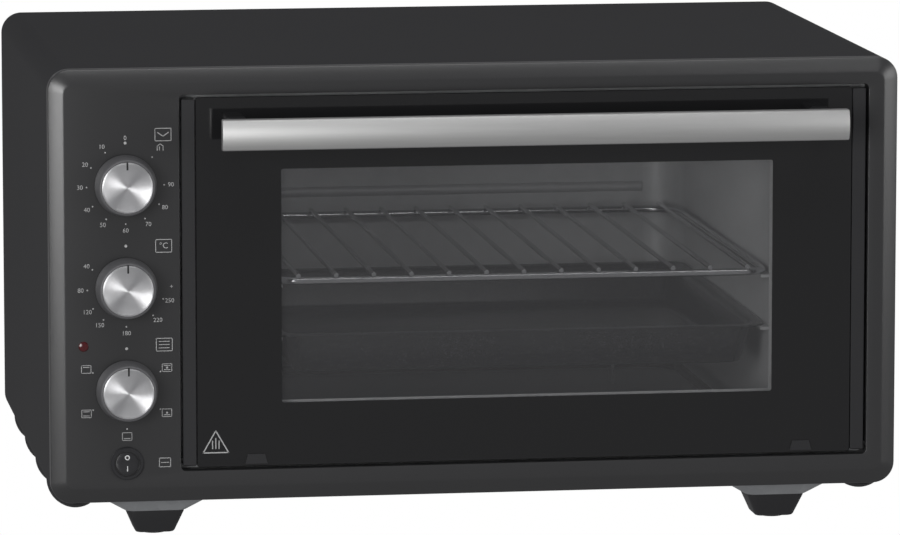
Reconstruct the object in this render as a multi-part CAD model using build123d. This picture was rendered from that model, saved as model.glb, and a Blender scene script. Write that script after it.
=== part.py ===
"""Toaster oven with a drop-down glass door, three control knobs, rack and baking tray.

Design axes while modelling: X to the right, Y from the front face of the frame to the rear,
Z up from the lower edge of the frame.  Every node is moved by PLACE when it is written, so the
finished part stands on Z = 0 with its origin under the middle of its bounding box.
"""
from build123d import *
import math
import os

# ---------------------------------------------------------------- driving dimensions (mm)
# Body
WIDTH = 580.0
HEIGHT = 293.8             # frame and casing, feet not counted
CASE_DEPTH = 392.4         # front face of the frame to the rear edge of the casing
CORNER_RADIUS = 14.5
CASING_SHEET = 1.0
FRAME_SHEET = 1.6
FRAME_SIDE = 12.0          # depth of the frame's visible side wall
FRAME_GAP = 1.2            # shadow gap between frame and casing
LIP_SHEET = 1.2            # frame lip that the casing slides over
LIP_DEPTH = 24.0
LIP_LAP = 3.0              # lip inside the frame's side wall
BEVEL_WIDTH = 10.0
BEVEL_DEPTH = 4.0
BEVEL_CORNER = 6.0
CUT_PAST = 1.0             # how far a cutting solid runs past the face it cuts
HAIR = 0.01                # the same where there is no room for more

# Door recess in the frame
COLUMN_WIDTH = 87.8
BORDER_RIGHT = 20.6
BORDER_TOP = 17.7
BORDER_BOTTOM = 20.9
RECESS_RADIUS = 3.5
RECESS_DEPTH = 15.0

# Door
DOOR_GAP = 1.6
DOOR_FACE = 1.6            # how far the trims lie behind the frame face
TRIM_WIDTH = 9.2
TRIM_END_GAP = 3.1
TRIM_GLASS_GAP = 0.4
TRIM_CORNER = 1.0
TRIM_CHAMFER = 0.5
GLASS_THICKNESS = 4.0
GLASS_SET_BACK = 0.2
GLASS_END_GAP = 1.9
GLASS_CORNER = 1.5
INNER_FRAME_DEPTH = 7.2
INNER_SHEET = 1.0
INNER_FRAME_INSET = 0.6
INNER_FRAME_LAP = 5.0      # inner frame's front flange past the trims
INNER_GLASS_THICKNESS = 3.0
INNER_GLASS_LAP = 8.0
INNER_GLASS_CORNER = 2.0
WINDOW_MARGIN_LEFT = 67.3
WINDOW_MARGIN_RIGHT = 64.4
WINDOW_MARGIN_BOTTOM = 45.1
WINDOW_MARGIN_TOP = 51.1
WINDOW_RADIUS = 1.5
GLASS_CLIP_LEFT = 17.5     # clip centre outside the window edge
GLASS_CLIP_RIGHT = 20.5
GLASS_CLIP_WIDTHS = (15.2, 11.6)
GLASS_CLIP_HEIGHTS = (1.7, 8.4)
GLASS_CLIP_SHEET = 0.8

# Door hinge and stay arms
HINGE_HEIGHT = 6.6         # above the recess floor
HINGE_DEPTH = 5.5          # behind the frame face
PIN_RADIUS = 2.0
RUNNING_CLEARANCE = 0.05
HINGE_BRACKET = 3.0
HINGE_BRACKET_HEIGHT = 30.0
PIN_IN_DOOR = 6.0
PIN_TAIL = 9.0
SPRING_RADIUS = 3.0
SPRING_WIRE = 0.9
SPRING_TURNS = 4
SPRING_PITCH = 1.35        # in wire diameters
ARM_RADIUS = 60.0
ARM_WIDTH = 6.0
ARM_SHEET = 2.0
ARM_OFFSET = 11.0          # arm to cavity wall
ARM_SLOT_CLEARANCE = 1.0
ARM_SLOT_DROP = 2.0        # extra length at the slot's lower end
ARM_END_ANGLE = 5.0        # arm past the level of the hinge axis, degrees
ARM_FOOT_SIDE = 3.0
ARM_FOOT_ENDS = (12.0, 8.0)
ARM_FOOT_SHEET = 1.0

# Handle
HANDLE_INSET_LEFT = 23.6
HANDLE_INSET_RIGHT = 19.3
HANDLE_HEIGHT = 22.2
HANDLE_BULGE = 9.0
HANDLE_REACH = 38.0        # front of the bar before the frame face
HANDLE_FROM_TOP = 23.7
HANDLE_CHANNEL = 12.0
HANDLE_CHANNEL_DEPTH = 2.0
HANDLE_END_WALL = 2.0
POST_WIDTH = 13.0
POST_HEIGHT = 17.0
POST_INSET = 7.0
POST_CORNER = 2.0
SCREW_RADIUS = 2.0
SCREW_DEPTH = 22.0
SCREW_HEAD_RADIUS = 4.0
SCREW_HEAD = 2.4
SCREW_HEAD_CLEARANCE = 0.3

# Cavity
CAVITY_LAP = 3.7           # cavity wall outside the window edge
CAVITY_FLOOR = 6.1         # above the recess floor
CAVITY_CEILING = 10.1      # below the recess top
CAVITY_SHEET = 1.0
CAVITY_BACK = 22.4         # cavity rear wall to the casing's rear edge
CAVITY_CORNER = 28.0
CAVITY_FLANGE_LAP = 3.0    # cavity flange past the frame's recess wall
BEAD_HEIGHT = 161.0
BEAD_RADIUS = 4.0
LEDGE_WIDTH = 7.0
LEDGE_SHEET = 2.0
LEDGE_START = 24.0
SLIDE_GAP = 0.2

# Rack and tray
RACK_HEIGHT = 145.7
RACK_RAIL_RADIUS = 2.5
RACK_WIRE_RADIUS = 1.6
RACK_WIRES = 13
RACK_SIDE_GAP = 2.0
RACK_FRONT = 21.0
RACK_REAR_GAP = 14.0
RACK_CORNER = 14.0
RACK_WELD = 0.4            # how far a wire sinks into the rail
RACK_WIRE_END = 1.5        # wire end past the rail's centre line
TRAY_RIM = 108.0
TRAY_SIDE_GAP = 2.0
TRAY_RIM_WIDTH = 8.0
TRAY_DEPTH = 28.0
TRAY_TAPER = 7.0
TRAY_SHEET = 1.0
TRAY_FRONT = 24.0
TRAY_REAR_GAP = 24.0
TRAY_CORNER = 16.0
TRAY_LEAST_CORNER = 4.0

# Controls
COLUMN_CENTRE = 51.4       # from the left edge of the frame
KNOB_FROM_TOP = 77.9
KNOB_SPACING = 69.6
KNOB_DIAMETER = 41.6
KNOB_TOP_DIAMETER = 37.6
KNOB_HEIGHT = 13.6
KNOB_GAP = 1.0
KNOB_WALL = 2.2
CAP_DIAMETER = 34.2
CAP_PROUD = 0.6
CAP_SEAT = 1.2
CAP_EDGE = 0.5             # bevel at the rim's outer edge
CAP_RIM = (1.6, 2.2)       # rim's inner slope, measured in from the edge
CAP_DISH = 0.35
SKIRT_FOOT = 2.0           # upright band at the foot of the skirt
KNOB_BOSS = 3.0            # wall of the boss on the shaft
KNOB_BOSS_GAP = 0.5
SHAFT_RADIUS = 3.0
SHAFT_LENGTH = 32.0
SHAFT_HOLE_CLEARANCE = 0.6
SHAFT_END_GAP = 1.0
BUSH_RADIUS = 4.8
BUSH_START = 1.2           # bush face behind the frame sheet
UNIT_SIZE = 44.0
UNIT_DEPTH = 30.0
UNIT_CORNER = 4.0
UNIT_HOLE_SHARE = 0.7      # screw place as a share of half the unit
UNIT_HOLE_DEPTH = 6.0
TAB_HALF_WIDTH = 3.0
TAB_LENGTH = 8.0
TAB_OFFSET = 9.0
TAB_HALF_SHEET = 0.4
UNIT_FACE = 8.0            # control units' face behind the frame face
BRACKET_SHEET = 1.2
BRACKET_INSET = 4.0
BRACKET_END = 2.0
SMALL_SCREW_RADIUS = 1.5
SMALL_SCREW_HEAD = (2.8, 1.8)
SMALL_SCREW_GRIP = 5.0
SWITCH_HEIGHT = 27.2
BEZEL_DIAMETER = 22.6
BEZEL_PROUD = 1.8
BARREL_RADIUS = 9.8
BARREL_LENGTH = 22.0
BEZEL_CHAMFER = 0.8
PANEL_HOLE_CLEARANCE = 0.1
SWITCH_TABS = (-5.0, 0.0, 5.0)
ROCKER_BORE = 8.9
ROCKER_RADIUS = 8.3
ROCKER_AXIS = 2.5
ROCKER_TILT = 9.5          # degrees either side of level
ROCKER_PIN = 1.2
ROCKER_SEAT = 9.5          # bore floor behind the rocker's axis
ROCKER_PIN_SEAT = 0.7
ROCKER_PIN_END = 0.6
# side view of the rocker: depths from its axis, and half the height of its heel
ROCKER_RIDGE, ROCKER_VALLEY = -2.6, -1.4
ROCKER_BACK, ROCKER_HEEL, ROCKER_HEEL_HALF = 1.5, 5.0, 3.5
ROCKER_EDGE_SHARE = 0.95
LAMP_OFFSET = -29.0        # from the column centre
LAMP_HEIGHT = 107.3
LAMP_RADIUS = 3.4
LAMP_SEAT = 3.0
LAMP_DOME = ((1.0, -0.2), (0.86, -0.8), (0.5, -1.2), (0.0, -1.35))   # radius share, depth
LAMP_BODY_WALL = 1.2
LAMP_BODY_END = 16.0

# Heaters, fan, shield
HEATER_RADIUS = 3.25
HEATER_BEND = 25.0
HEATER_FROM_WALL = 14.0
HEATER_FRONT = 95.0
HEATER_FROM_BACK = 75.0
HEATER_END_GAP = 16.0      # cold end past the heat shield
HEATER_TURN_GAP = 18.0     # bend to the cavity's right wall
HEATER_CLIP_OFFSET = 20.0
HEATER_CLIP_SHEET = 2.0
HEATER_CLIP_REACH = 6.0
INSULATOR_WALL = 2.2
INSULATOR_TAIL = 10.0
BULB_RADIUS = 2.5
BULB_REACH = 70.0
BULB_FROM_HEATER = 40.0
BULB_FROM_CEILING = 25.0
BULB_TAIL = 12.0
SHIELD_OFFSET = 8.0        # heat shield to cavity wall
SHIELD_SHEET = 1.0
SHIELD_TOP_GAP = 12.0
FAN_FROM_BACK = 170.0
FAN_HEIGHT = 210.0
FAN_RADIUS = 34.0
FAN_BLADES = 6
FAN_VANE = (1.2, 15.0)     # sheet and breadth
FAN_VANE_ANGLE = 25.0
FAN_VANE_ROOT = 7.0        # vane shorter than the fan's radius
FAN_VANE_LIFT = 3.0
FAN_HUB_RADIUS = 8.0
FAN_HUB_GAP = 1.5
FAN_COVER_RADIUS = 41.0
FAN_COVER_DEPTH = 13.0
FAN_COVER_SHEET = 1.0
FAN_COVER_GAP = 4.0        # shaft end behind the cover's face
FAN_SLOTS = 9
FAN_SLOT_PITCH = 8.0
FAN_SLOT_HALF = 2.0
FAN_SLOT_MARGIN = 6.0
FAN_SHAFT_RADIUS = 3.0
FAN_SHAFT_CLEARANCE = 1.5
MOTOR_RADIUS = 27.0
MOTOR_LENGTH = 36.0
MOTOR_STANDOFF = 6.0
MOTOR_LUG_INSET = 5.0
MOTOR_LUG_RADIUS = 3.0
MOTOR_END_WALL = 4.0
MOTOR_SHAFT_GAP = 1.0      # shaft end to the motor's end wall

# Feet, rear and louvres
FOOT_INSET_LEFT = 73.2
FOOT_INSET_RIGHT = 77.8
FOOT_INSET_Y = 44.0
FOOT_TOP = (40.0, 40.0)
FOOT_BOTTOM = (26.0, 26.0)
FOOT_HEIGHT = 16.4
FOOT_CORNER = 6.0
FOOT_SCREW_SINK = 5.0      # screw head below the top of the foot
PAD_RADIUS = 9.0
PAD_PROUD = 1.3
PAD_SEAT = 2.0
PAD_EDGE = 1.0
CUP_TOP = (78.0, 62.0)
CUP_BOTTOM = (42.0, 42.0)
CUP_DROP = 9.8
CUP_WALL = 1.2
CUP_CORNER = 10.0
CUP_INNER_CORNER = 9.0
PAN_EDGE = 1.0             # pan inside the casing's corner rounding
RETURN_WIDTH = 28.0        # casing's inward return under the body
REAR_INSET = 3.0
REAR_FLANGE = 10.0
REAR_SCREW_SIDE = 16.0     # from the side edges
REAR_SCREW_TOP = 14.0      # from the top edge
REAR_SCREW_LOW = 60.0
REAR_SCREW_DROP = 40.0     # upper side screws below the top row
REAR_SCREW_GRIP = 9.0
REAR_SCREW_RADIUS = 1.4
REAR_SCREW_HEAD = (3.2, 1.6)
CORD_HEIGHT = 45.0
GLAND_RADIUS = 8.0
GLAND_FLANGE = (10.5, 2.2)
GLAND_BORE = 4.2
GLAND_LENGTH = 9.0
TERMINAL_FROM_REAR = 90.0
TERMINAL_SIZE = (48.0, 22.0, 16.0)
TERMINAL_SPACING = 16.0
TERMINAL_HOLE = (2.6, 10.0)
LOUVRE_COUNT = 4
LOUVRE_FIRST = 38.0
LOUVRE_SPACING = 89.0
LOUVRE_LENGTH = 70.0
LOUVRE_RADIUS = 18.9
LOUVRE_CENTRE = (19.0, 11.0)
VENT_ROWS = 5
VENT_COLUMNS = 22
VENT_PITCH_X = 11.0
VENT_PITCH_Z = 16.0
VENT_CENTRE = 0.62         # share of the body height
VENT_SLOT = (3.6, 12.0)
VENT_SLOT_CORNER = 1.7

# ---------------------------------------------------------------- derived places
HALF = WIDTH / 2
RX0, RX1 = -HALF + COLUMN_WIDTH, HALF - BORDER_RIGHT
RZ0, RZ1 = BORDER_BOTTOM, HEIGHT - BORDER_TOP
DX0, DX1 = RX0 + DOOR_GAP, RX1 - DOOR_GAP
TZ0, TZ1 = RZ0 + TRIM_END_GAP, RZ1 - TRIM_END_GAP
WX0, WX1 = DX0 + WINDOW_MARGIN_LEFT, DX1 - WINDOW_MARGIN_RIGHT
WZ0, WZ1 = RZ0 + WINDOW_MARGIN_BOTTOM, RZ1 - WINDOW_MARGIN_TOP
CX0, CX1 = WX0 - CAVITY_LAP, WX1 + CAVITY_LAP
CZ0, CZ1 = RZ0 + CAVITY_FLOOR, RZ1 - CAVITY_CEILING
CY1 = CASE_DEPTH - CAVITY_BACK
GLASS_Y0 = DOOR_FACE + GLASS_SET_BACK
GLASS_Y1 = GLASS_Y0 + GLASS_THICKNESS
DOOR_BACK = GLASS_Y1 + INNER_FRAME_DEPTH
FLANGE_BACK = RECESS_DEPTH + CAVITY_SHEET
HINGE_Y, HINGE_Z = HINGE_DEPTH, RZ0 + HINGE_HEIGHT
HANDLE_Z = RZ1 - HANDLE_FROM_TOP
HANDLE_X0, HANDLE_X1 = DX0 + HANDLE_INSET_LEFT, DX1 - HANDLE_INSET_RIGHT
BAR_BACK = HANDLE_BULGE - HANDLE_REACH
POSTS = (HANDLE_X0 + POST_INSET + POST_WIDTH / 2, HANDLE_X1 - POST_INSET - POST_WIDTH / 2)
ARMS = (CX0 - ARM_OFFSET - ARM_SHEET, CX1 + ARM_OFFSET)
KNOB_X = -HALF + COLUMN_CENTRE
KNOBS = {
    "timer": HEIGHT - KNOB_FROM_TOP,
    "thermostat": HEIGHT - KNOB_FROM_TOP - KNOB_SPACING,
    "selector": HEIGHT - KNOB_FROM_TOP - 2 * KNOB_SPACING,
}
CAP_BACK = -KNOB_GAP - KNOB_HEIGHT + CAP_SEAT
LAMP_X = KNOB_X + LAMP_OFFSET
SHIELD_X = CX0 - CAVITY_SHEET - SHIELD_OFFSET
HEATER_REAR = CY1 - HEATER_FROM_BACK
HEATERS = {"upper": CZ1 - HEATER_FROM_WALL, "lower": CZ0 + HEATER_FROM_WALL}
HEATER_END = SHIELD_X - HEATER_END_GAP
FAN_DEPTH = CY1 - FAN_FROM_BACK
BULB_Y, BULB_Z = HEATER_REAR - BULB_FROM_HEATER, CZ1 - BULB_FROM_CEILING
HEATER_TURN = CX1 - HEATER_TURN_GAP
FEET = {
    "front_left": (-HALF + FOOT_INSET_LEFT, FOOT_INSET_Y),
    "front_right": (HALF - FOOT_INSET_RIGHT, FOOT_INSET_Y),
    "rear_left": (-HALF + FOOT_INSET_LEFT, CASE_DEPTH - FOOT_INSET_Y),
    "rear_right": (HALF - FOOT_INSET_RIGHT, CASE_DEPTH - FOOT_INSET_Y),
}
FLOOR = -(CUP_DROP + FOOT_HEIGHT + PAD_PROUD)
PLACE = Location((0, -(CASE_DEPTH - HANDLE_REACH) / 2, -FLOOR))


# ---------------------------------------------------------------- shape helpers
def block(x0, x1, y0, y1, z0, z1):
    """Box between two corners."""
    return Pos((x0 + x1) / 2, (y0 + y1) / 2, (z0 + z1) / 2) * Box(x1 - x0, y1 - y0, z1 - z0)


def slab(x0, x1, z0, z1, y0, y1, radius=0.0):
    """Upright plate from y0 to y1 whose corners, seen from the front, are rounded."""
    outline = RectangleRounded(x1 - x0, z1 - z0, radius) if radius else Rectangle(x1 - x0, z1 - z0)
    centre = Pos((x0 + x1) / 2, (z0 + z1) / 2)
    return extrude(Plane.XZ.offset(-y1) * centre * outline, y1 - y0)


def rod_x(y, z, x0, x1, radius):
    return Pos((x0 + x1) / 2, y, z) * Rot(0, 90, 0) * Cylinder(radius, x1 - x0)


def rod_y(x, z, y0, y1, radius):
    return Pos(x, (y0 + y1) / 2, z) * Rot(90, 0, 0) * Cylinder(radius, y1 - y0)


def rod_z(x, y, z0, z1, radius):
    return Pos(x, y, (z0 + z1) / 2) * Cylinder(radius, z1 - z0)


def turned(points, x, z):
    """Solid turned about an axis along Y: points are (radius, y)."""
    return Pos(x, 0, z) * revolve(make_face(Polyline(*points, close=True)), Axis.Y)


def bent_rod(points, bend, radius):
    """Round bar along straight runs joined by tangent arcs."""
    path = FilletPolyline(*points, radius=bend)
    return sweep(Plane(origin=path @ 0, z_dir=path % 0) * Circle(radius), path=path)


def tapered(x, y, z_top, z_bottom, top, bottom, radius, wall=0.0):
    """Four-sided block that narrows downwards; wall shrinks it for the inside of a pressing."""
    upper = RectangleRounded(top[0] - 2 * wall, top[1] - 2 * wall, radius)
    lower = RectangleRounded(bottom[0] - 2 * wall, bottom[1] - 2 * wall, radius * bottom[1] / top[1])
    return loft([Pos(x, y, z_top) * upper, Pos(x, y, z_bottom) * lower])


def outline(inset, y):
    """Outline of the body seen from the front, drawn at depth y."""
    shape = RectangleRounded(WIDTH - 2 * inset, HEIGHT - 2 * inset, CORNER_RADIUS - inset)
    return Plane.XZ.offset(-y) * Pos(0, HEIGHT / 2) * shape


def body_prism(inset, y0, y1):
    return extrude(outline(inset, y1), y1 - y0)


# ---------------------------------------------------------------- body shells
def bevelled_front(step):
    """Front of the frame as a solid, shrunk by step on every side for the inside."""
    inset = BEVEL_WIDTH + step * BEVEL_DEPTH / BEVEL_WIDTH
    face = RectangleRounded(WIDTH - 2 * inset, HEIGHT - 2 * inset, BEVEL_CORNER)
    front = Plane.XZ.offset(-step) * Pos(0, HEIGHT / 2) * face
    bevel = loft([outline(step, BEVEL_DEPTH + step), front])
    return bevel + body_prism(step, BEVEL_DEPTH + step, FRAME_SIDE)


def front_frame():
    shell = bevelled_front(0) - bevelled_front(FRAME_SHEET)
    lip_start = FRAME_SIDE - LIP_LAP
    lip = body_prism(CASING_SHEET, lip_start, LIP_DEPTH)
    lip -= body_prism(CASING_SHEET + LIP_SHEET, lip_start - CUT_PAST, LIP_DEPTH + CUT_PAST)
    wall = slab(RX0 - FRAME_SHEET, RX1 + FRAME_SHEET, RZ0 - FRAME_SHEET, RZ1 + FRAME_SHEET,
                FRAME_SHEET / 2, RECESS_DEPTH, RECESS_RADIUS + FRAME_SHEET)
    frame = shell + lip + wall
    frame -= slab(RX0, RX1, RZ0, RZ1, -CUT_PAST, RECESS_DEPTH + CUT_PAST, RECESS_RADIUS)
    holes = [(KNOB_X, z, SHAFT_RADIUS + SHAFT_HOLE_CLEARANCE) for z in KNOBS.values()]
    holes.append((KNOB_X, SWITCH_HEIGHT, BARREL_RADIUS + PANEL_HOLE_CLEARANCE))
    holes.append((LAMP_X, LAMP_HEIGHT, LAMP_RADIUS + PANEL_HOLE_CLEARANCE))
    for x, z, radius in holes:
        frame -= rod_y(x, z, -CUT_PAST, FRAME_SHEET + CUT_PAST, radius)
    bore = PIN_RADIUS + RUNNING_CLEARANCE
    for x0 in (RX0 - FRAME_SHEET, RX1):
        frame -= rod_x(HINGE_Y, HINGE_Z, x0 - CUT_PAST, x0 + FRAME_SHEET + CUT_PAST, bore)
    return frame


def louvre(side, y, step):
    """Pressed bulge that wraps round a lower edge of the casing."""
    radius, half_length = LOUVRE_RADIUS - step, LOUVRE_LENGTH / 2 - step
    half_oval = Ellipse(radius, half_length) & Pos(radius, 0) * Rectangle(2 * radius, 2 * half_length)
    across, up = LOUVRE_CENTRE
    return Pos(side * (HALF - across), y, up) * revolve(half_oval, Axis.Y)


def outer_casing():
    start = FRAME_SIDE + FRAME_GAP
    outside = body_prism(0, start, CASE_DEPTH)
    inside = body_prism(CASING_SHEET, start - CUT_PAST, CASE_DEPTH + CUT_PAST)
    hollows = []
    for side in (-1, 1):
        for index in range(LOUVRE_COUNT):
            y = LOUVRE_FIRST + index * LOUVRE_SPACING
            outside += louvre(side, y, 0)
            hollows.append(louvre(side, y, CASING_SHEET))
    casing = outside - inside
    for hollow in hollows:
        casing -= hollow
    opening = HALF - RETURN_WIDTH
    casing -= block(-opening, opening, start - CUT_PAST, CASE_DEPTH + CUT_PAST, -LOUVRE_RADIUS,
                    CASING_SHEET + CUT_PAST)
    # the first louvre would reach past the front edge
    return casing - block(-WIDTH, WIDTH, start - LOUVRE_LENGTH, start, -HEIGHT, 2 * HEIGHT)


def rear_screw_places():
    across, up = HALF - REAR_SCREW_SIDE, HEIGHT - REAR_SCREW_TOP
    side_rows = (REAR_SCREW_LOW, up - REAR_SCREW_DROP)
    places = [(side * across, z) for z in side_rows for side in (-1, 1)]
    return places + [(-across / 3, up), (across / 3, up)]


def rear_panel():
    y1 = CASE_DEPTH - REAR_INSET
    panel = body_prism(CASING_SHEET, y1 - REAR_FLANGE, y1)
    panel -= body_prism(CASING_SHEET * 2, y1 - REAR_FLANGE - CUT_PAST, y1 - CASING_SHEET)
    front, back = y1 - CASING_SHEET - CUT_PAST, y1 + CUT_PAST
    half_width, half_height = VENT_SLOT[0] / 2, VENT_SLOT[1] / 2
    slots = []
    for row in range(VENT_ROWS):
        z = HEIGHT * VENT_CENTRE + (row - (VENT_ROWS - 1) / 2) * VENT_PITCH_Z
        for column in range(VENT_COLUMNS):
            x = (column - (VENT_COLUMNS - 1) / 2) * VENT_PITCH_X
            slots.append(slab(x - half_width, x + half_width, z - half_height, z + half_height,
                              front, back, VENT_SLOT_CORNER))
    panel -= slots
    panel -= [rod_y(x, z, front, back, REAR_SCREW_RADIUS) for x, z in rear_screw_places()]
    return panel - rod_y(KNOB_X, CORD_HEIGHT, front, back, GLAND_RADIUS)


def casing_screws():
    y1 = CASE_DEPTH - REAR_INSET
    radius, height = REAR_SCREW_HEAD
    return Compound([rod_y(x, z, y1, y1 + height, radius)
                     + rod_y(x, z, y1 - REAR_SCREW_GRIP, y1, REAR_SCREW_RADIUS)
                     for x, z in rear_screw_places()])


def cord_gland():
    y1 = CASE_DEPTH - REAR_INSET
    radius, thickness = GLAND_FLANGE
    gland = rod_y(KNOB_X, CORD_HEIGHT, y1, y1 + thickness, radius)
    gland += rod_y(KNOB_X, CORD_HEIGHT, y1 - GLAND_LENGTH, y1, GLAND_RADIUS)
    return gland - rod_y(KNOB_X, CORD_HEIGHT, y1 - GLAND_LENGTH - CUT_PAST,
                         y1 + thickness + CUT_PAST, GLAND_BORE)


def bottom_pan():
    edge = HALF - CORNER_RADIUS - PAN_EDGE
    rear = CASE_DEPTH - REAR_INSET - REAR_FLANGE
    return block(-edge, edge, LIP_DEPTH, rear, CASING_SHEET, CASING_SHEET * 2)


def foot_cups():
    """Tapered cups welded under the pan, one over each foot."""
    cups = []
    for x, y in FEET.values():
        cup = tapered(x, y, CASING_SHEET, -CUP_DROP, CUP_TOP, CUP_BOTTOM, CUP_CORNER)
        cup -= tapered(x, y, CASING_SHEET + HAIR, -CUP_DROP + CASING_SHEET, CUP_TOP, CUP_BOTTOM,
                       CUP_INNER_CORNER, wall=CUP_WALL)
        cups.append(cup - rod_z(x, y, -CUP_DROP - CUT_PAST, 0, SCREW_RADIUS))
    return Compound(cups)


def foot(x, y):
    low = -CUP_DROP - FOOT_HEIGHT
    body = tapered(x, y, -CUP_DROP, low, FOOT_TOP, FOOT_BOTTOM, FOOT_CORNER)
    body -= rod_z(x, y, FLOOR - CUT_PAST, low + PAD_SEAT, PAD_RADIUS)
    body -= rod_z(x, y, FLOOR - CUT_PAST, -CUP_DROP - FOOT_SCREW_SINK, SCREW_HEAD_RADIUS)
    return body - rod_z(x, y, FLOOR, 0, SCREW_RADIUS)


def foot_pads():
    seat = -CUP_DROP - FOOT_HEIGHT + PAD_SEAT
    pads = []
    for x, y in FEET.values():
        pad = rod_z(x, y, FLOOR, seat, PAD_RADIUS)
        pad = fillet(pad.edges().group_by(Axis.Z)[0], PAD_EDGE)
        pads.append(pad - rod_z(x, y, FLOOR - CUT_PAST, seat + CUT_PAST, SCREW_HEAD_RADIUS))
    return Compound(pads)


def foot_screws():
    head = -CUP_DROP - FOOT_SCREW_SINK
    radius = SCREW_HEAD_RADIUS - SCREW_HEAD_CLEARANCE
    return Compound([rod_z(x, y, head - SCREW_HEAD, head, radius)
                     + rod_z(x, y, head, CASING_SHEET, SCREW_RADIUS) for x, y in FEET.values()])


# ---------------------------------------------------------------- cavity and its fittings
def cavity_plan(grow):
    """Plan of the cavity with rounded rear corners, grown by grow on three sides."""
    front = RECESS_DEPTH
    plan = Pos((CX0 + CX1) / 2, (front + CY1 + grow) / 2) * Rectangle(
        CX1 - CX0 + 2 * grow, CY1 + grow - front)
    return fillet(plan.vertices().group_by(Axis.Y)[-1], CAVITY_CORNER + grow)


def cavity_shell():
    t = CAVITY_SHEET
    shell = extrude(Pos(0, 0, CZ0 - t) * cavity_plan(t), CZ1 - CZ0 + 2 * t)
    reach = FRAME_SHEET + CAVITY_FLANGE_LAP
    shell += block(RX0 - reach, RX1 + reach, RECESS_DEPTH, FLANGE_BACK, RZ0 - reach, RZ1 + reach)
    shell -= extrude(Pos(0, 0, CZ0) * cavity_plan(0), CZ1 - CZ0)
    for ledge_top in (RACK_HEIGHT - RACK_RAIL_RADIUS, TRAY_RIM - TRAY_SHEET):
        z = ledge_top - SLIDE_GAP
        rear = CY1 - CAVITY_CORNER
        for x0, x1 in ((CX0, CX0 + LEDGE_WIDTH), (CX1 - LEDGE_WIDTH, CX1)):
            shell += block(x0, x1, LEDGE_START, rear, z - LEDGE_SHEET, z)
    # a third of the bead's radius stays behind the rear wall
    bead = rod_x(CY1 + BEAD_RADIUS / 3, BEAD_HEIGHT, CX0 + CAVITY_CORNER, CX1 - CAVITY_CORNER,
                 BEAD_RADIUS)
    shell += bead & block(CX0, CX1, 0, CY1 + t, 0, HEIGHT)
    outside, inside = CX0 - t - CUT_PAST, CX0 + CUT_PAST
    for z in HEATERS.values():
        for y in (HEATER_FRONT, HEATER_REAR):
            shell -= rod_x(y, z, outside, inside, HEATER_RADIUS)
    shell -= rod_x(FAN_DEPTH, FAN_HEIGHT, outside, inside, FAN_SHAFT_RADIUS + FAN_SHAFT_CLEARANCE)
    shell -= rod_x(BULB_Y, BULB_Z, outside, inside, BULB_RADIUS)
    slot = ARM_WIDTH / 2 + ARM_SLOT_CLEARANCE
    for x in ARMS:
        shell -= block(x - ARM_SLOT_CLEARANCE, x + ARM_SHEET + ARM_SLOT_CLEARANCE,
                       RECESS_DEPTH - CUT_PAST, FLANGE_BACK + CUT_PAST,
                       HINGE_Z + ARM_RADIUS - slot - ARM_SLOT_DROP, HINGE_Z + ARM_RADIUS + slot)
    return shell


def heat_shield():
    x0 = SHIELD_X - SHIELD_SHEET
    shield = block(x0, SHIELD_X, LIP_DEPTH, CY1, CASING_SHEET * 2, HEIGHT - SHIELD_TOP_GAP)
    outside, inside = x0 - CUT_PAST, SHIELD_X + CUT_PAST
    for z in HEATERS.values():
        for y in (HEATER_FRONT, HEATER_REAR):
            shield -= rod_x(y, z, outside, inside, HEATER_RADIUS + INSULATOR_WALL)
    shield -= rod_x(BULB_Y, BULB_Z, outside, inside, BULB_RADIUS)
    return shield - rod_x(FAN_DEPTH, FAN_HEIGHT, outside, inside,
                          FAN_SHAFT_RADIUS + FAN_SHAFT_CLEARANCE)


def heater(z):
    points = [(HEATER_END, HEATER_FRONT, z), (HEATER_TURN, HEATER_FRONT, z),
              (HEATER_TURN, HEATER_REAR, z), (HEATER_END, HEATER_REAR, z)]
    return bent_rod(points, HEATER_BEND, HEATER_RADIUS)


def heater_clips():
    reach = HEATER_CLIP_REACH
    x1 = HEATER_TURN - HEATER_BEND - HEATER_CLIP_OFFSET + HEATER_CLIP_SHEET / 2
    x0 = x1 - HEATER_CLIP_SHEET
    clips = []
    for name, z in HEATERS.items():
        low, high = (z - reach, CZ1) if name == "upper" else (CZ0, z + reach)
        for y in (HEATER_FRONT, HEATER_REAR):
            clip = block(x0, x1, y - reach, y + reach, low, high)
            clips.append(clip - rod_x(y, z, x0 - CUT_PAST, x1 + CUT_PAST, HEATER_RADIUS))
    return Compound(clips)


def heater_insulators():
    beads = []
    for z in HEATERS.values():
        for y in (HEATER_FRONT, HEATER_REAR):
            x0, x1 = SHIELD_X - INSULATOR_TAIL, CX0 - CAVITY_SHEET
            bead = rod_x(y, z, x0, x1, HEATER_RADIUS + INSULATOR_WALL)
            beads.append(bead - rod_x(y, z, x0 - CUT_PAST, x1 + CUT_PAST, HEATER_RADIUS))
    return Compound(beads)


def fan_motor():
    x1 = SHIELD_X - SHIELD_SHEET
    x0 = x1 - MOTOR_STANDOFF
    end = x0 - MOTOR_LENGTH
    motor = rod_x(FAN_DEPTH, FAN_HEIGHT, end, x0, MOTOR_RADIUS)
    for side in (-1, 1):
        y = FAN_DEPTH + side * (MOTOR_RADIUS - MOTOR_LUG_INSET)
        motor += rod_x(y, FAN_HEIGHT, x0, x1, MOTOR_LUG_RADIUS)
    bore = FAN_SHAFT_RADIUS + RUNNING_CLEARANCE
    return motor - rod_x(FAN_DEPTH, FAN_HEIGHT, end + MOTOR_END_WALL, x0 + CUT_PAST, bore)


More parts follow.
